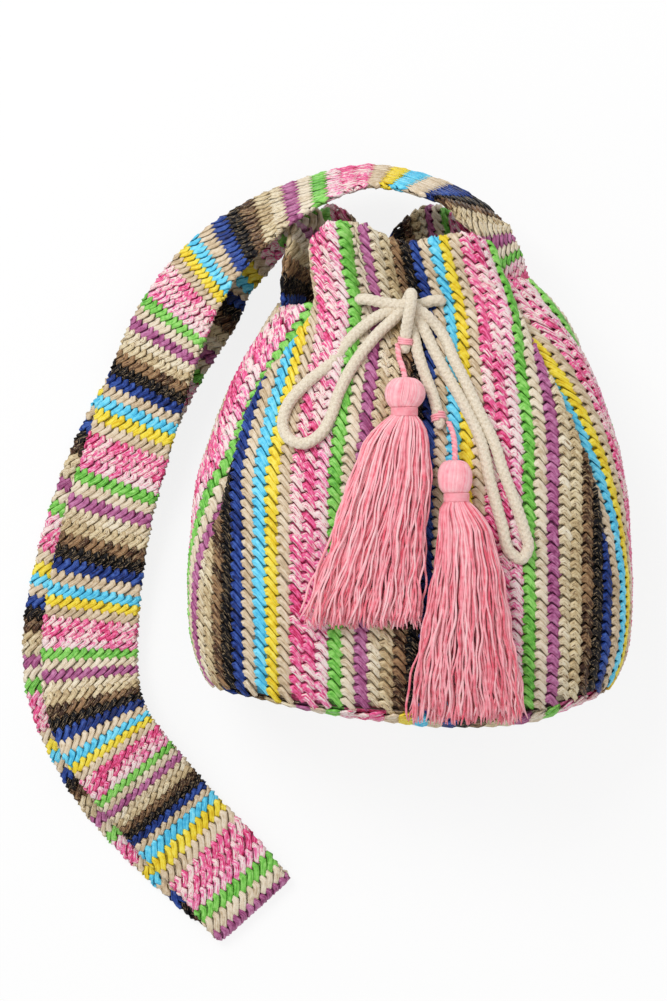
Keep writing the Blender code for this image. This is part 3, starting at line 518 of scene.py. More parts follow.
def smooth_table(rows, x):
    """The values at each x, smoothly between the rows given. The first value of a row is its x."""
    table = np.array(rows, dtype=float)
    x = np.clip(np.asarray(x, dtype=float), table[0, 0], table[-1, 0])
    i = np.clip(np.searchsorted(table[:, 0], x, side="right") - 1, 0, len(table) - 2)
    before, after = np.maximum(i - 1, 0), np.minimum(i + 2, len(table) - 1)
    span = (table[i + 1, 0] - table[i, 0])[..., None]
    t = (x[..., None] - table[i, 0][..., None]) / span
    low, high = table[i, 1:], table[i + 1, 1:]
    early, late = table[before, 1:], table[after, 1:]
    slope_low = (high - early) / (table[i + 1, 0] - table[before, 0])[..., None] * span
    slope_high = (late - low) / (table[after, 0] - table[i, 0])[..., None] * span
    rise = high - low
    slope_low = np.where(((low - early) * rise <= 0.0) & (i > 0)[..., None], 0.0, slope_low)
    slope_high = np.where(((late - high) * rise <= 0.0) & (i + 2 < len(table))[..., None], 0.0, slope_high)
    return blend_between(low, slope_low, high, slope_high, t)


def smooth_step(t):
    """0 below 0, 1 above 1, and a smooth rise between."""
    t = np.clip(t, 0.0, 1.0)
    return t * t * (3.0 - 2.0 * t)


def body_row(columns, y):
    """The body's outside at one y, for every column given."""
    half, top, low, middle = smooth_table(BODY_PROFILE, y)
    pitch = smooth_table(PANEL_PITCH, y)[0]
    turn = np.linspace(0.0, 2.0 * math.pi, SECTION_POINTS + 1)
    power = 2.0 / SQUARENESS
    xs = middle + half * np.sign(np.sin(turn)) * np.abs(np.sin(turn)) ** power
    up = np.sign(np.cos(turn)) * np.abs(np.cos(turn)) ** power
    zs = np.maximum((top + low) / 2.0 + (top - low) / 2.0 * up, 0.0)
    way = np.concatenate([[0.0], np.cumsum(np.hypot(np.diff(xs), np.diff(zs)))])
    girth = way[-1]
    run = np.zeros(len(columns))
    depth = np.zeros(len(columns))
    half_round = COLUMNS / 2.0
    for right in (True, False):
        pick = (columns >= MIDDLE) if right else (columns < MIDDLE)
        away = np.abs(columns[pick] - MIDDLE)
        edges = []
        for name, shift in ((("front_right", 0.0), ("back_right", 0.0)) if right
                            else (("front_left", 0.0), ("back_left", -COLUMNS))):
            first, last = smooth_table(PLEATS[name], y) + shift
            edges.append(sorted((abs(first - MIDDLE), abs(last - MIDDLE))))
        (near, far), (back_near, back_far) = edges
        gaps = [2.0 * PLEAT_MOUTH * float(smooth_step((b - a) / PLEAT_FULL)) for a, b in edges]
        fronts, backs = near * pitch, (half_round - back_far) * pitch
        loose = (girth / 2.0 - fronts - backs - sum(gaps)) / (back_near - far)
        knots = [0.0, near, max(far, near + 1e-6), back_near, max(back_far, back_near + 1e-6), half_round]
        places = [0.0, fronts, fronts + gaps[0], fronts + gaps[0] + (back_near - far) * loose,
                  girth / 2.0 - backs, girth / 2.0]
        here = np.interp(away, knots, places)
        sink = np.zeros(len(away))
        share_at, under_at, deep_at = np.array(PLEAT_SECTION).T
        for (a, b), gap, sign in zip(edges, gaps, (-1.0, 1.0)):
            full = gap / (2.0 * PLEAT_MOUTH)
            past_panel = away - a if sign < 0.0 else b - away
            past_side = away - b if sign < 0.0 else a - away
            inside = (past_panel > 0.0) & (past_side < 0.0)
            share = np.clip(past_panel / max(b - a, 1e-6), 0.0, 1.0)
            here = here + np.where(inside, sign * full * np.interp(share, share_at, under_at), 0.0)
            deep = np.where(past_panel <= 0.0, -EDGE_RISE * np.exp(np.minimum(past_panel, 0.0) / EDGE_FADE),
                            np.interp(share, share_at, deep_at - EDGE_RISE * (share_at == 0.0)))
            fading = deep_at[-1] * np.exp(-np.maximum(past_side, 0.0) / PLEAT_FADE)
            deep = np.where(past_side >= 0.0, fading, deep)
            sink += full * deep
        run[pick] = here if right else girth - here
        depth[pick] = sink
    run = run % girth
    x, z = np.interp(run, way, xs), np.interp(run, way, zs)
    after, before = (run + NORMAL_REACH) % girth, (run - NORMAL_REACH) % girth
    dx = np.interp(after, way, xs) - np.interp(before, way, xs)
    dz = np.interp(after, way, zs) - np.interp(before, way, zs)
    length = np.hypot(dx, dz)
    out = -depth
    for column, width, height, fade_low, fade_high in LOBES:
        out = out + height * np.exp(-((columns - column) / width) ** 2) * float(
            smooth_step((y - fade_low) / (fade_high - fade_low)))
    drawn = float(smooth_step((y - DRAWN_FROM) / DRAWN_OVER)) * smooth_step(z / RIPPLE_FADE)
    out = out + drawn * RIPPLE * sum(np.sin(columns * across + along * y) for across, along in RIPPLE_TURNS)
    out = out + WAVE * np.sin(columns * WAVE_TURNS[0] + WAVE_TURNS[1] * y) * smooth_step(z / WAVE_FADE)
    height = np.maximum(z + dx / length * out, UNDERSIDE)
    return np.column_stack([x - dz / length * out, np.full(len(columns), float(y)), height])


def sample(grid, i, j, closed=True):
    """Points of a grid at fractional places i and j. The first direction may close on itself."""
    rows, cols = grid.shape[0], grid.shape[1]
    j = np.clip(j, 0.0, cols - 1.001)
    if not closed:
        i = np.clip(i, 0.0, rows - 1.001)
    i0, j0 = np.floor(i).astype(int), np.floor(j).astype(int)
    fi, fj = (i - i0)[..., None], (j - j0)[..., None]
    i0 %= rows
    i1 = (i0 + 1) % rows
    return (grid[i0, j0] * (1 - fi) * (1 - fj) + grid[i1, j0] * fi * (1 - fj)
            + grid[i0, j0 + 1] * (1 - fi) * fj + grid[i1, j0 + 1] * fi * fj)


def grid_normals(grid, closed=True):
    """The outward direction at each point of a grid whose two directions turn right-handed."""
    if closed:
        across = np.roll(grid, -1, axis=0) - np.roll(grid, 1, axis=0)
    else:
        across = np.gradient(grid, axis=0)
    along = np.gradient(grid, axis=1)
    out = np.cross(across, along)
    return out / np.maximum(np.linalg.norm(out, axis=2), 1e-12)[..., None]


first_column = MIDDLE - COLUMNS / 2.0
grid_columns = first_column + np.arange(COLUMNS * CELLS) / CELLS
every_column = np.arange(len(grid_columns))
grid_y = np.arange(GRID_FIRST, GRID_LAST, GRID_STEP)
body_grid = np.stack([body_row(grid_columns, y) for y in grid_y], axis=1)
body_out = grid_normals(body_grid)
seam_at = np.interp(SEAM_Y, grid_y, np.arange(len(grid_y)))
seam_x = sample(body_grid, every_column, np.full(len(grid_columns), seam_at))[:, 0]
seam_y = smooth_table(SEAM, seam_x)[:, 0]
rim_y = smooth_table(RIM, RIM[0][0] + (grid_columns - RIM[0][0]) % COLUMNS)[:, 0]
cloth_steps = np.arange(-CLOTH_BEFORE, CLOTH_END, CLOTH_STEP)
cloth = np.empty((len(grid_columns), len(cloth_steps), 3))
cloth_out = np.empty_like(cloth)
for k, s in enumerate(cloth_steps):
    over = seam_y + s - rim_y
    angle = np.clip(over / HEM_R, 0.0, math.pi)
    inside = np.maximum(over - math.pi * HEM_R, 0.0)
    y = np.where(over > 0.0, rim_y - inside, seam_y + s)
    at = (y - grid_y[0]) / GRID_STEP
    base, out = sample(body_grid, every_column, at), sample(body_out, every_column, at)
    out /= np.linalg.norm(out, axis=1)[:, None]
    up = np.array([0.0, 1.0, 0.0])
    cloth[:, k] = base - out * (HEM_R * (1 - np.cos(angle)))[:, None] + up * (HEM_R * np.sin(angle))[:, None]
    cloth_out[:, k] = out * np.cos(angle)[:, None] + up * np.sin(angle)[:, None]
cloth_out /= np.linalg.norm(cloth_out, axis=2)[..., None]

# One stitch: place across the column, along it and out of the cloth, half width and half height
STITCH_LINE = metres((
    (-0.6, -2.2, -0.3, 0, 0), (0.5, -1.4, 0.4, 2.15, 1.15), (2.3, -0.5, 0.9, 2.5, 1.5),
    (4.3, -2.2, 0.7, 2, 1.25), (6.4, -4.9, 0.45, 1.9, 1.15), (8.1, -7, -0.15, 2.05, 1),
    (9.1, -8.3, -1, 0, 0),
))
# The yarn's section: two strands side by side, so a groove runs along the top
STITCH_SECTION = ((-1.0, 0.05), (-0.6, 0.85), (0.0, 0.5), (0.6, 0.85), (1.0, 0.05), (0.0, -0.7))
ROW_SHIFT = 2.0 / 3.0        # how far the next column's stitches sit lower, as a share of the spacing
SWELL, SPREAD = 0.05, 0.03   # how much the stitches differ in length and in width
SLIDE, RISE = 0.00022, 0.00012       # and in their place along the cloth and out of it


def stitch_shape():
    """The points (across, along, out) and faces of one stitch, with places along and round its yarn."""
    line = STITCH_LINE
    way = np.gradient(line[:, :2], axis=0)
    way /= np.linalg.norm(way, axis=1)[:, None]
    sides = len(STITCH_SECTION)
    rings = len(line) - 2
    points = []
    marks = []
    for i in range(1, len(line) - 1):
        for k, (wide, high) in enumerate(STITCH_SECTION):
            flat = line[i, :2] + np.array([-way[i, 1], way[i, 0]]) * line[i, 3] * wide
            points.append((flat[0], flat[1], line[i, 2] + line[i, 4] * high))
            marks.append((i / (len(line) - 1), k / sides))
    points += [tuple(line[0, :3]), tuple(line[-1, :3])]
    marks += [(0.0, 0.3), (1.0, 0.3)]
    faces = []
    for r in range(rings - 1):
        for k in range(sides):
            a, b = r * sides + k, r * sides + (k + 1) % sides
            faces += [(a, b, a + sides), (b, b + sides, a + sides)]
    start, end, last = rings * sides, rings * sides + 1, (rings - 1) * sides
    for k in range(sides):
        n = (k + 1) % sides
        faces += [(start, n, k), (end, last + k, last + n)]
    return np.array(points), np.array(faces), np.array(marks)


def stitch_field(name, grid, out, starts, place_on, closed, seed, node, relief=1.0, length=1.0):
    """Stitches on a cloth grid. starts gives each stitch's column, its place along it and its yarn."""
    shape, shape_faces, marks = stitch_shape()
    rng = np.random.default_rng(seed)
    column, place, kinds = starts[:, 0], starts[:, 1], starts[:, 2].astype(int)
    count = len(column)
    swell = 1.0 + SWELL * rng.standard_normal((count, 1))
    slide = SLIDE * rng.standard_normal((count, 2))
    rise = RISE * rng.standard_normal((count, 1))
    across = shape[None, :, 0] * (1.0 + SPREAD * rng.standard_normal((count, 1))) + slide[:, :1]
    along = shape[None, :, 1] * swell * length + slide[:, 1:]
    lift = (shape[None, :, 2] * swell + rise) * relief
    i, j = place_on(column[:, None] + across / PITCH, place[:, None] + along)
    base, normal = sample(grid, i, j, closed), sample(out, i, j, closed)
    normal = normal / np.maximum(np.linalg.norm(normal, axis=2), 1e-9)[..., None]
    points = base + normal * lift[..., None]
    points[:, :, 2] = np.maximum(points[:, :, 2], 0.0)
    size = len(shape)
    faces = (shape_faces[None] + (np.arange(count) * size)[:, None, None]).reshape(-1, 3)
    slots = np.repeat(kinds, len(shape_faces))
    piece = mesh_piece(name, points.reshape(-1, 3), faces.tolist(), yarns.values(), slots)
    dye = rng.random(count)
    for k in range(1, count):
        if column[k] == column[k - 1] and rng.random() < DYE_RUN:
            dye[k] = np.clip(dye[k - 1] + DYE_CHANGE * rng.standard_normal(), 0.0, 1.0)
    yarn = np.empty((count, size, 3))
    yarn[:, :, 0] = marks[None, :, 1]
    yarn[:, :, 1] = marks[None, :, 0]
    yarn[:, :, 2] = dye[:, None]
    run = piece.data.attributes.new("yarn", "FLOAT_VECTOR", "POINT")
    run.data.foreach_set("vector", yarn.astype(np.float32).ravel())
    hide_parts(node)


STRIPES = ("blue", "beige", "cyan", "yellow", "beige", "pink", "pink", "blush", "green", "cream",
           "purple", "sand", "tan", "brown", "black")
DYE_RUN = 0.35               # chance that a stitch follows the shade of the one before
DYE_CHANGE = 0.12            # and how far it drifts from it
# Each yarn: how much of its shade is the stitch's own, and its shades as place, red, green and blue
YARNS = {
    "blue": (0.3, (0.2, 0.003, 0.006, 0.045), (0.52, 0.013, 0.042, 0.24), (0.85, 0.06, 0.135, 0.46)),
    "beige": (0.3, (0.15, 0.44, 0.31, 0.17), (0.5, 0.68, 0.54, 0.37), (0.85, 0.82, 0.71, 0.56)),
    "cyan": (0.25, (0.15, 0.04, 0.41, 0.69), (0.5, 0.12, 0.64, 0.89), (0.85, 0.27, 0.78, 0.96)),
    "yellow": (0.25, (0.15, 0.7, 0.45, 0.008), (0.5, 0.88, 0.69, 0.035), (0.85, 0.94, 0.82, 0.15)),
    "pink": (0.38, (0.18, 0.5, 0.008, 0.08), (0.28, 0.84, 0.085, 0.27), (0.48, 0.9, 0.2, 0.43),
             (0.58, 0.9, 0.74, 0.7)),
    "blush": (0.36, (0.14, 0.55, 0.012, 0.1), (0.26, 0.88, 0.18, 0.42), (0.4, 0.9, 0.33, 0.54),
              (0.5, 0.88, 0.74, 0.72)),
    "green": (0.25, (0.15, 0.065, 0.33, 0.022), (0.5, 0.2, 0.59, 0.085), (0.85, 0.39, 0.76, 0.21)),
    "cream": (0.3, (0.15, 0.52, 0.39, 0.24), (0.5, 0.76, 0.65, 0.49), (0.85, 0.86, 0.77, 0.63)),
    "purple": (0.25, (0.15, 0.21, 0.026, 0.115), (0.5, 0.43, 0.11, 0.27), (0.85, 0.62, 0.26, 0.46)),
    "sand": (0.4, (0.15, 0.54, 0.42, 0.24), (0.5, 0.76, 0.65, 0.45), (0.85, 0.86, 0.79, 0.64)),
    "tan": (0.4, (0.15, 0.42, 0.29, 0.14), (0.5, 0.66, 0.53, 0.31), (0.85, 0.82, 0.72, 0.51)),
    "brown": (0.4, (0.2, 0.018, 0.007, 0.005), (0.46, 0.075, 0.034, 0.02), (0.75, 0.36, 0.21, 0.105)),
    "black": (0.3, (0.2, 0.001, 0.001, 0.002), (0.55, 0.004, 0.004, 0.006), (0.85, 0.018, 0.014, 0.016)),
}
# The colour of the flecks in the space-dyed yarns
FLECKS = {"pink": (0.56, 0.012, 0.085), "blush": (0.66, 0.03, 0.15), "sand": (0.24, 0.13, 0.055),
          "tan": (0.13, 0.055, 0.022), "brown": (0.46, 0.34, 0.19), "black": (0.3, 0.22, 0.13)}
FLECK_SHARE = ((0.0, 0.0, 0.0, 0.0), (0.59, 0.0, 0.0, 0.0), (0.63, 1.0, 1.0, 1.0))
YARN_STRETCH = (7.0, 2.0, 61.0)      # fine round the yarn, long along it, and different in each stitch
FINE_LINES = 0.62            # share of the fine lines in a stitch's own shade, beside uneven patches
GLOSS = 0.32
DULL = {"black": 0.1, "brown": 0.16, "blue": 0.24}      # dark yarns that shine less than the others


def yarn_finish(name, own, *shades):
    """Glossy twisted paper yarn: fine lines along it, uneven dye, and flecks where it is space-dyed."""
    finish, nodes, shader = new_finish("yarn_" + name, 0.42)
    yarn = nodes.new("ShaderNodeAttribute")
    yarn.attribute_name = "yarn"
    parts = add_node(nodes, "ShaderNodeSeparateXYZ", {"Vector": yarn.outputs["Vector"]})
    values = {0: yarn.outputs["Vector"], 1: YARN_STRETCH}
    stretch = add_node(nodes, "ShaderNodeVectorMath", values, "MULTIPLY").outputs["Vector"]
    lines = noise(nodes, 1.6, 2.0, stretch)
    patch, fine = (add_node(nodes, "ShaderNodeMapRange", {"Value": texture, "From Min": 0.34, "From Max": 0.66})
                   for texture in (noise(nodes, 420.0, 3.0), lines))
    values = {"Factor": FINE_LINES, "A": patch.outputs["Result"], "B": fine.outputs["Result"]}
    blend = add_node(nodes, "ShaderNodeMix", values)
    values = {"Factor": own, "A": blend.outputs["Result"], "B": parts.outputs["Z"]}
    colour = ramp(nodes, add_node(nodes, "ShaderNodeMix", values).outputs["Result"], shades)
    if name in FLECKS:
        where = ramp(nodes, noise(nodes, 2.6, 2.0, stretch), FLECK_SHARE)
        values = {"Factor": where, "A": colour, "B": (*FLECKS[name], 1.0)}
        colour = add_node(nodes, "ShaderNodeMix", values, data_type="RGBA").outputs["Result"]
    rough = ramp(nodes, lines, ((0.3, 0.34, 0.34, 0.34), (0.7, 0.55, 0.55, 0.55)))
    set_inputs(shader, {"Base Color": colour, "Roughness": rough, "Specular IOR Level": DULL.get(name, GLOSS)})
    bump(nodes, shader, lines, 0.00045, 0.7)
    return finish


yarns = {name: yarn_finish(name, *shades) for name, shades in YARNS.items()}
yarn_names = list(YARNS)


def yarn_of(column):
    """The number of the yarn that a column of the stripes is worked in."""
    return yarn_names.index(STRIPES[int(math.floor(column)) % len(STRIPES)])


def body_place(column, place):
    """Grid place of a column and a distance from the base seam."""
    return (column - first_column) * CELLS, (place + CLOTH_BEFORE) / CLOTH_STEP


FRONT_COLUMNS = (-8.0, 38.0)         # the columns whose stitches are the front's piece
PLEAT_BARE = 1.1             # columns inside a pleat's edges beyond which no stitch can be seen
STITCH_SHIFT = 0.04          # how far a stitch's left end lies inside its column
body_starts = []
for column in range(int(math.floor(first_column)), int(math.floor(first_column)) + COLUMNS):
    at = int(round((column + 0.5 - first_column) * CELLS)) % len(grid_columns)
    whole = rim_y[at] - seam_y[at] + math.pi * HEM_R + HEM_DEPTH
    place = ROW * (0.75 + (-ROW_SHIFT * column) % 1.0)
    while place < whole:
        edges = [smooth_table(rows, min(seam_y[at] + place, rim_y[at])) for rows in PLEATS.values()]
        if not any(first + PLEAT_BARE < (column + 0.5 - first) % COLUMNS + first < last - PLEAT_BARE
                   for first, last in edges):
            body_starts.append((column + STITCH_SHIFT, place, yarn_of(column + 0.5)))
        place += ROW
body_starts = np.array(body_starts)
on_front = (body_starts[:, 0] > FRONT_COLUMNS[0]) & (body_starts[:, 0] < FRONT_COLUMNS[1])
for name, pick, seed in (("woven_body_front", on_front, 5), ("woven_body_back", ~on_front, 6)):
    stitch_field(name, cloth, cloth_out, body_starts[pick], body_place, True, seed, "woven_body")

# Behind the stitches the cloth is closed by the same yarn's plain ground, with painted shade on its outside
# where it lies deep
GROUND_DROP = 0.0009
GROUND_WALL = 0.001
GROUND_ROWS = 72


def ground_finish(name, dark, light):
    """The yarn's ground behind the stitches, mottled between two colours by fine noise that also bumps it;
    given darkened colours it is painted shade.
    """
    finish, nodes, shader = new_finish(name, 0.8)
    spots = noise(nodes, 600.0, 3.0)
    set_inputs(shader, {"Base Color": ramp(nodes, spots, ((0.35, *dark), (0.65, *light)))})
    bump(nodes, shader, spots, 0.0006, 0.9)
    return finish


# Painted shade: a dark brown for the shell's edges, where only shade shows between the stitches
painted_shade_dark = ground_finish("ground_painted_shade", (0.02, 0.009, 0.006), (0.085, 0.045, 0.028))
painted_shade_ground, ground_inner = {}, {}
# Painted shade: the ground's outside takes each yarn's dark and middle shades darkened; its inside keeps them
# as they are
for name, (_, (_, *dark), (_, *middle), *_) in YARNS.items():
    painted_shade_ground[name] = ground_finish("ground_" + name, [0.45 * v + 0.003 for v in dark],
                                       [0.75 * v + 0.006 for v in middle])
    ground_inner[name] = ground_finish("inner_" + name, dark, middle)


def ground_shell(name, grid, out, column_of, closed, i_step, j_step):
    """A thin closed shell under a field of stitches: painted shade outside, its full colours inside."""
    g, n = grid[::i_step, ::j_step], out[::i_step, ::j_step]
    outer, inner = g - n * GROUND_DROP, g - n * (GROUND_DROP + GROUND_WALL)
    rows, cols = g.shape[0], g.shape[1]
    points = np.concatenate([outer.reshape(-1, 3), inner.reshape(-1, 3)])
    half = rows * cols
    i = np.arange(rows if closed else rows - 1)
    i2, j = (i + 1) % rows, np.arange(cols - 1)
    a = (i[:, None] * cols + j).ravel()
    b = (i2[:, None] * cols + j).ravel()
    top = np.stack([a, b, b + 1, a + 1], axis=1)
    low = np.stack([a + 1, b + 1, b, a], axis=1) + half
    edge_low = np.stack([i * cols + half, i2 * cols + half, i2 * cols, i * cols], axis=1)
    edge_high = np.stack([i * cols, i2 * cols, i2 * cols + half, i * cols + half], axis=1) + cols - 1
    ends = []
    if not closed:
        c = (rows - 1) * cols
        ends = [np.stack([j, j + 1, j + 1 + half, j + half], axis=1),
                np.stack([j + half, j + 1 + half, j + 1, j], axis=1) + c]
    faces = np.concatenate([top, low, edge_low, edge_high] + ends)
    kinds = np.repeat([yarn_of(column_of(r * i_step)) for r in i], cols - 1)
    slots = np.zeros(len(faces), dtype=np.int32)
    slots[:len(top)] = 1 + kinds
    slots[len(top):2 * len(top)] = 1 + len(YARNS) + kinds
    finishes = [painted_shade_dark, *painted_shade_ground.values(), *ground_inner.values()]
    piece = mesh_piece(name, points, faces.tolist(), finishes, slots)
    return piece


flat_grid = np.empty((len(grid_columns), GROUND_ROWS, 3))
flat_out = np.empty_like(flat_grid)
for k in range(GROUND_ROWS):
    y = seam_y + (rim_y - seam_y) * k / (GROUND_ROWS - 1.0)
    at = (y - grid_y[0]) / GRID_STEP
    flat_grid[:, k] = sample(body_grid, every_column, at)
    flat_out[:, k] = sample(body_out, every_column, at)
body_ground = ground_shell("woven_body_ground", flat_grid, flat_out,
                           lambda i: first_column + i / CELLS, True, 2, 1)
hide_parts("woven_body")


# The base: an oval cut from the same cloth, its columns running from front to back. It is sewn to the
# body all round and bulges a little, so a thin band of it shows below the body's stripes.
BASE_DOME = 0.0085           # how far it bulges
BASE_TUCK = 0.0012           # how far beyond the seam its edge lies
BASE_HALF = 0.1165           # half its width
BASE_LOW = 0.025             # x of the deepest part of its bulge
BASE_SAG = 0.115             # reach of the bulge to each side
BASE_ROWS = 64
BASE_PITCH = 0.00845         # its columns lie a little wider
BASE_BLUE = 0.0222           # x of the middle of its blue column
_, top, low, middle = smooth_table(BODY_PROFILE, SEAM_Y)
base_columns = int(2.0 * BASE_HALF / PITCH)
base_x = middle + BASE_HALF * np.linspace(-1.0, 1.0, base_columns * CELLS + 1)
reach = (1.0 - np.minimum(1.0, np.abs((base_x - middle) / BASE_HALF)) ** SQUARENESS) ** (1.0 / SQUARENESS)
base_top = (top + low) / 2.0 + (top - low) / 2.0 * reach
base_low = np.maximum((top + low) / 2.0 - (top - low) / 2.0 * reach, 0.0)
share = np.linspace(0.0, 1.0, BASE_ROWS)
bulge = np.clip(1.0 - ((base_x - BASE_LOW) / BASE_SAG) ** 2, 0.0, 1.0)[:, None]
bulge = bulge * np.sin(math.pi * share) ** 0.5
base_z = base_low[:, None] + (base_top - base_low)[:, None] * share[None, :]
base_y = smooth_table(SEAM, base_x) - BASE_TUCK - BASE_DOME * bulge
base_grid = np.stack([np.broadcast_to(base_x[:, None], base_z.shape), base_y, base_z], axis=2)
base_out = grid_normals(base_grid, closed=False)
base_out[base_out[:, :, 1] > 0.0] *= -1.0
base_starts = []


def base_x_of(column):
    """The x of a place in the base's columns, which count from right to left."""
    return BASE_BLUE - (column - 0.5) * BASE_PITCH


def base_place(column, place):
    """Grid place of a column of the base and a distance up from its lower edge."""
    i = np.clip(np.interp(base_x_of(column), base_x, np.arange(len(base_x))), 0.0, len(base_x) - 1.001)
    height = np.interp(i, np.arange(len(base_x)), base_top - base_low)
    return i, np.clip(place / height, 0.0, 1.0) * (BASE_ROWS - 1)


first, last = (int((BASE_BLUE - x) / BASE_PITCH) for x in (base_x[-1], base_x[0]))
for column in range(first - 1, last + 1):
    height = float(np.interp(base_x_of(column + 0.5), base_x, base_top - base_low))
    place = ROW * (0.3 + (-ROW_SHIFT * column) % 1.0)
    while place < height + 0.5 * ROW:
        base_starts.append((column + STITCH_SHIFT, place, yarn_of(column + 0.5)))
        place += ROW
stitch_field("base_stitches", base_grid, base_out, np.array(base_starts), base_place, False, 9, "base_panel")
base_ground = ground_shell("base_ground", base_grid, base_out,
                           lambda i: (BASE_BLUE - base_x[i]) / BASE_PITCH + 0.5, False, 1, 3)
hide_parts("base_panel")


# The shoulder strap: a long flattened tube of the same cloth, 58.5 mm wide, its columns lying across it.
# Its ends are sewn down inside the rim at each side. It stands on edge over the mouth, leans over as it
# comes down on the left, lies flat to its fold and runs back under itself.
STRAP_WIDTH = 0.0585
STRAP_THICK = 0.003
STRAP_LOWEST = 0.0028        # its middle line never lies lower than this
STRAP_SQUARE = 0.55          # power that flattens its section, where 1 is an ellipse
STRAP_DROP = 0.0006          # how far its ground lies behind the stitches
STRAP_RELIEF = 0.68          # its stitches are pressed a little flatter than the body's
STRAP_LENGTH = 0.86          # and lie a little closer together
# The strap's middle line from its right end to its left one, with its lean in degrees and its share of
# the full width
STRAP_ROUTE = metres((
    (70, 100, 70, 62, 0.56), (66.5, 111, 73, 57, 0.58), (61.5, 123, 78, 52, 0.62),
    (56.5, 135, 83, 50, 0.66), (52.5, 147, 86, 52, 0.66), (48.5, 157, 86, 60, 0.74),
    (40, 168, 79, 70, 0.9), (28, 179, 69, 74, 1.0), (11, 187, 64, 74, 1.0), (-8, 192.5, 60, 74, 1.0),
    (-26, 194, 58, 73, 1.0), (-44, 190, 57, 71, 1.0), (-60, 184, 55, 68, 1.0), (-78, 175, 52, 63, 1.0),
    (-95, 164, 48, 57, 1.0), (-109.3, 153, 45, 53, 1.0), (-123, 138.5, 41, 48, 1.0),
    (-135, 122, 36, 42, 1.0), (-145, 104, 31, 36, 0.99), (-154, 83, 26, 30, 0.96),
    (-162, 61, 22, 24, 0.94), (-171.6, 30, 18, 18, 0.93), (-181, -1, 15, 13, 0.93),
    (-188, -33, 13, 9, 0.95), (-193.5, -68, 11, 5, 0.99), (-195, -98, 12, 2, 1.0),
    (-192.4, -121, 18, 0, 1.0), (-185, -141, 23, 0, 1.0), (-173, -159, 22, 0, 1.0),
    (-157.6, -178, 16, 0, 1.0), (-139.6, -200, 11, 0, 1.0), (-118.2, -222, 9.5, 0, 1.0),
    (-104, -239, 10, 0, 1.0), (-97.5, -247.5, 9.2, 0, 1.0), (-94.5, -251, 5.8, 0, 1.0),
    (-97.5, -247.5, 2.4, 0, 1.0), (-105, -240, 1.8, 0, 1.0), (-119, -230, 1.8, 0, 1.0),
    (-138, -213, 1.8, 0, 1.0), (-160, -191.5, 1.8, 0, 1.0), (-179, -169, 1.8, 0, 1.0),
    (-194, -143, 1.8, 0, 1.0), (-205, -115, 1.8, 0, 1.0), (-207, -83, 1.8, 0, 1.0),
    (-201.5, -50, 1.8, 0, 1.0), (-192.5, -13, 1.8, 0, 0.98), (-181.5, 20, 1.8, 0, 0.95),
    (-167, 53, 1.8, 0, 0.9), (-152, 79, 1.8, 0, 0.84), (-137.5, 100, 1.8, 0, 0.78),
    (-124, 119, 3, 0, 0.74), (-113, 137, 6, 5, 0.66), (-98, 151, 11, 14, 0.6), (-83, 162, 19, 30, 0.56),
    (-71, 168, 30, 48, 0.54), (-64, 165, 42, 60, 0.55), (-64, 154, 52, 64, 0.58),
    (-66.5, 141, 57, 64, 0.62), (-69, 128, 58, 68, 0.62), (-70.5, 115, 57, 76, 0.6),
    (-74, 103, 57, 84, 0.58),
), 3)
# Columns of the strap that the picture shows: x, y, whether it is underneath, and the column's number
SEEN_COLUMNS = (
    (0.0615, 0.13, False, 6.0), (0.055, 0.141, False, 8.6), (0.051, 0.152, False, 10.6),
    (0.023, 0.181, False, 15.5), (0.0, 0.1895, False, 17.5), (-0.1185, 0.143, False, 32.5),
    (-0.164, 0.052, False, 47.5), (-0.1875, -0.059, False, 62.5), (-0.179, -0.142, False, 77.5),
    (-0.137, -0.195, False, 92.5), (-0.155, -0.234, True, 107.5), (-0.214, -0.156, True, 122.5),
    (-0.219, -0.052, True, 137.5), (-0.1, 0.133, True, 167.5), (-0.07, 0.119, True, 180.6),
)
STRAP_STEP = 0.002
STRAP_AROUND = 48            # points round the strap's section
FOLD_HALF = 0.03             # share of the strap on each side of its fold that lies straight

strap_line, strap_length = smooth_curve(STRAP_ROUTE, STRAP_STEP)
rows = len(strap_line)
middle_line = strap_line[:, :3].copy()
middle_line[:, 2] = np.maximum(middle_line[:, 2], STRAP_LOWEST)
ahead = np.gradient(middle_line, axis=0)
ahead /= np.linalg.norm(ahead, axis=1)[:, None]
level = np.column_stack([ahead[:, 1], -ahead[:, 0], np.zeros(rows)])
shares = np.arange(rows) / rows
fold = np.argmin(strap_line[:, 1]) / rows
level[np.abs(shares - fold) < FOLD_HALF] = level[int((fold - FOLD_HALF) * rows)]
level[shares >= fold + FOLD_HALF] *= -1.0
level /= np.linalg.norm(level, axis=1)[:, None]
lean = np.radians(strap_line[:, 3])[:, None]
side = level * np.cos(lean) - np.array([0.0, 0.0, 1.0]) * np.sin(lean)
side -= ahead * np.sum(side * ahead, axis=1)[:, None]
side /= np.linalg.norm(side, axis=1)[:, None]
face = np.cross(side, ahead)
half = STRAP_WIDTH / 2.0 * strap_line[:, 4]
turn = np.linspace(0.0, 2.0 * math.pi, STRAP_AROUND, endpoint=False)
across = np.sign(np.cos(turn)) * np.abs(np.cos(turn)) ** STRAP_SQUARE
out = np.sign(np.sin(turn)) * np.abs(np.sin(turn)) ** STRAP_SQUARE
strap_grid = (middle_line[:, None, :] + side[:, None, :] * (half[:, None] * across[None, :])[..., None]
              + face[:, None, :] * (STRAP_THICK / 2.0 * out)[None, :, None])
around_grid = np.swapaxes(strap_grid, 0, 1)
around_out = -grid_normals(around_grid)
section = np.concatenate([[0.0], np.cumsum(np.linalg.norm(np.diff(
    np.concatenate([np.column_stack([half.max() * across, STRAP_THICK / 2.0 * out])] * 2)[:STRAP_AROUND + 1],
    axis=0), axis=1))])
way_along = np.linspace(0.0, strap_length, rows)
seen_ways = []
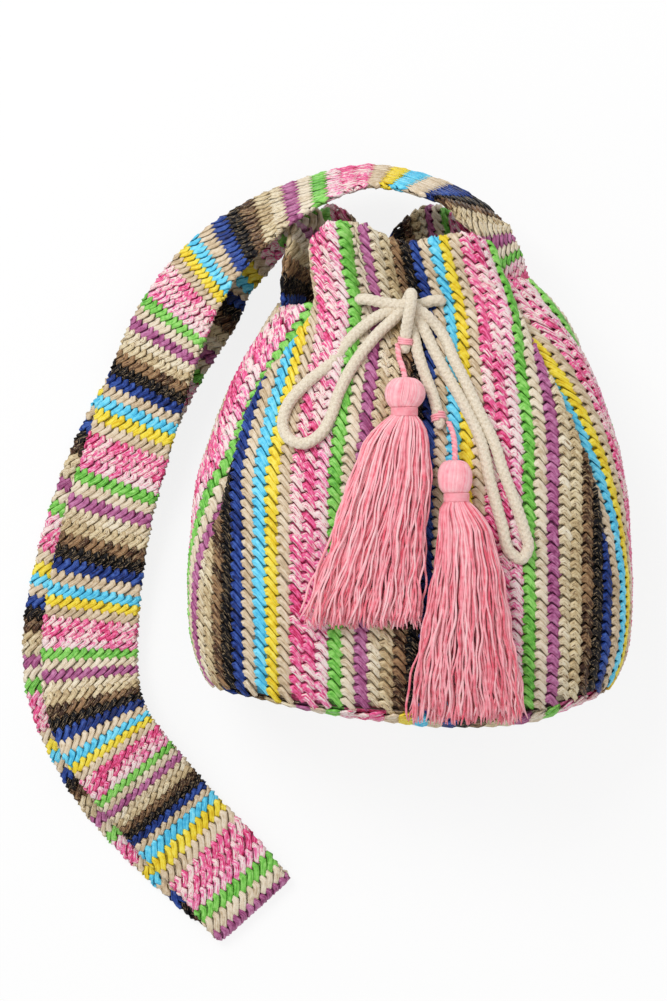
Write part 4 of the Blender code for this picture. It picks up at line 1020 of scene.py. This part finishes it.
for x, y, under, _ in SEEN_COLUMNS:
    gap = np.hypot(strap_line[:, 0] - x, strap_line[:, 1] - y) + (shares < fold if under else shares > fold)
    seen_ways.append(way_along[np.argmin(gap)])
seen_numbers = [row[3] for row in SEEN_COLUMNS]
strap_first = seen_numbers[0] - seen_ways[0] / PITCH
strap_last = seen_numbers[-1] + (strap_length - seen_ways[-1]) / PITCH
column_way = np.array([0.0, *seen_ways, strap_length])
column_number = np.array([strap_first, *seen_numbers, strap_last])


def strap_round(column):
    """How far a column of the strap lies along it, and the way round its section there."""
    at = np.interp(column, column_number, column_way)
    return at, section[-1] * np.interp(at, way_along, half / half.max())


def strap_place(column, place):
    """Grid place of a column of the strap and a distance round its section."""
    at, whole = strap_round(column)
    around = np.interp(place / whole % 1.0 * section[-1], section, np.arange(STRAP_AROUND + 1))
    return around, at / strap_length * (rows - 1)


strap_starts = []
for column in range(math.ceil(strap_first), math.floor(strap_last)):
    whole = strap_round(column)[1]
    strap_rows = int(whole / (ROW * STRAP_LENGTH))
    for k in range(strap_rows):
        place = whole * (k + (ROW_SHIFT * column) % 1.0) / strap_rows
        strap_starts.append((column + STITCH_SHIFT, place, yarn_of(column + 0.5)))
strap_starts = np.array(strap_starts)
on_top = strap_starts[:, 0] < np.interp(0.5 * strap_length, column_way, column_number)
for name, pick, seed in (("strap_upper_stitches", on_top, 13), ("strap_lower_stitches", ~on_top, 14)):
    stitch_field(name, around_grid, around_out, strap_starts[pick], strap_place, True, seed,
                 "shoulder_strap", STRAP_RELIEF, STRAP_LENGTH)
# The strap's ground is painted shade: each yarn's colours darkened, as on the outside of the body's ground
strap_points = strap_grid - np.swapaxes(around_out, 0, 1) * STRAP_DROP
strap_faces = tube_faces(rows, STRAP_AROUND)
strap_kinds = [1 + yarn_of(np.interp(way_along[face[0] // STRAP_AROUND], column_way, column_number))
               for face in strap_faces]
strap_ground = mesh_piece("strap_ground", strap_points.reshape(-1, 3), strap_faces,
                          [painted_shade_dark, *painted_shade_ground.values()], strap_kinds)
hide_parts("shoulder_strap")


# The sheet it lies on and the light: plain white, soft light from all round and a broad lamp to the
# upper left, so that the stitches cast small soft shadows.
FLOOR_HALF = 3.0
FLOOR_Z = -0.0004
FLOOR_GLOW = 0.84            # share of plain white that the sheet shows to the camera
SKY_LEVEL = 0.69             # light from all round
floor_mesh = bpy.data.meshes.new("studio_floor")
floor_mesh.from_pydata([(x * FLOOR_HALF, y * FLOOR_HALF, FLOOR_Z)
                        for x, y in ((-1, -1), (1, -1), (1, 1), (-1, 1))], [], [(0, 1, 2, 3)])
floor = bpy.data.objects.new("studio_floor", floor_mesh)
bpy.context.scene.collection.objects.link(floor)
white, nodes, shader = new_finish("studio_white", 0.9)
set_inputs(shader, {"Base Color": (0.92, 0.92, 0.92, 1.0), "Specular IOR Level": 0.0})
rays = nodes.new("ShaderNodeLightPath").outputs
seen = rays["Is Camera Ray"]
for other in ("Is Glossy Ray", "Is Transmission Ray"):
    seen = add_node(nodes, "ShaderNodeMath", {0: seen, 1: rays[other]}, "ADD").outputs["Value"]
part_white = add_node(nodes, "ShaderNodeMath", {0: seen, 1: FLOOR_GLOW}, "MULTIPLY")
part_white.use_clamp = True
glow = add_node(nodes, "ShaderNodeEmission", {"Color": (1.0, 1.0, 1.0, 1.0)})
values = {0: part_white.outputs["Value"], 1: shader.outputs["BSDF"], 2: glow.outputs["Emission"]}
both = add_node(nodes, "ShaderNodeMixShader", values)
set_inputs(nodes["Material Output"], {"Surface": both.outputs["Shader"]})
floor_mesh.materials.append(white)

world = bpy.data.worlds.new("studio")
world.use_nodes = True
bpy.context.scene.world = world
sky = world.node_tree.nodes
values = {"Value": sky.new("ShaderNodeLightPath").outputs["Is Camera Ray"], "To Min": SKY_LEVEL}
level = add_node(sky, "ShaderNodeMapRange", values)
set_inputs(sky["Background"], {"Color": (1.0, 1.0, 1.0, 1.0), "Strength": level.outputs["Result"]})

KEY_PLACE = (-1.1, 1.3, 2.2)
KEY_SIZE = 1.2
KEY_POWER = 37.0
key_data = bpy.data.lights.new("key_lamp", "AREA")
key_data.shape = "SQUARE"
key_data.size = KEY_SIZE
key_data.energy = KEY_POWER
key = bpy.data.objects.new("key_lamp", key_data)
key.location = KEY_PLACE
key.rotation_euler = (Vector((0.0, 0.0, 0.05)) - Vector(KEY_PLACE)).to_track_quat("-Z", "Y").to_euler()
bpy.context.scene.collection.objects.link(key)
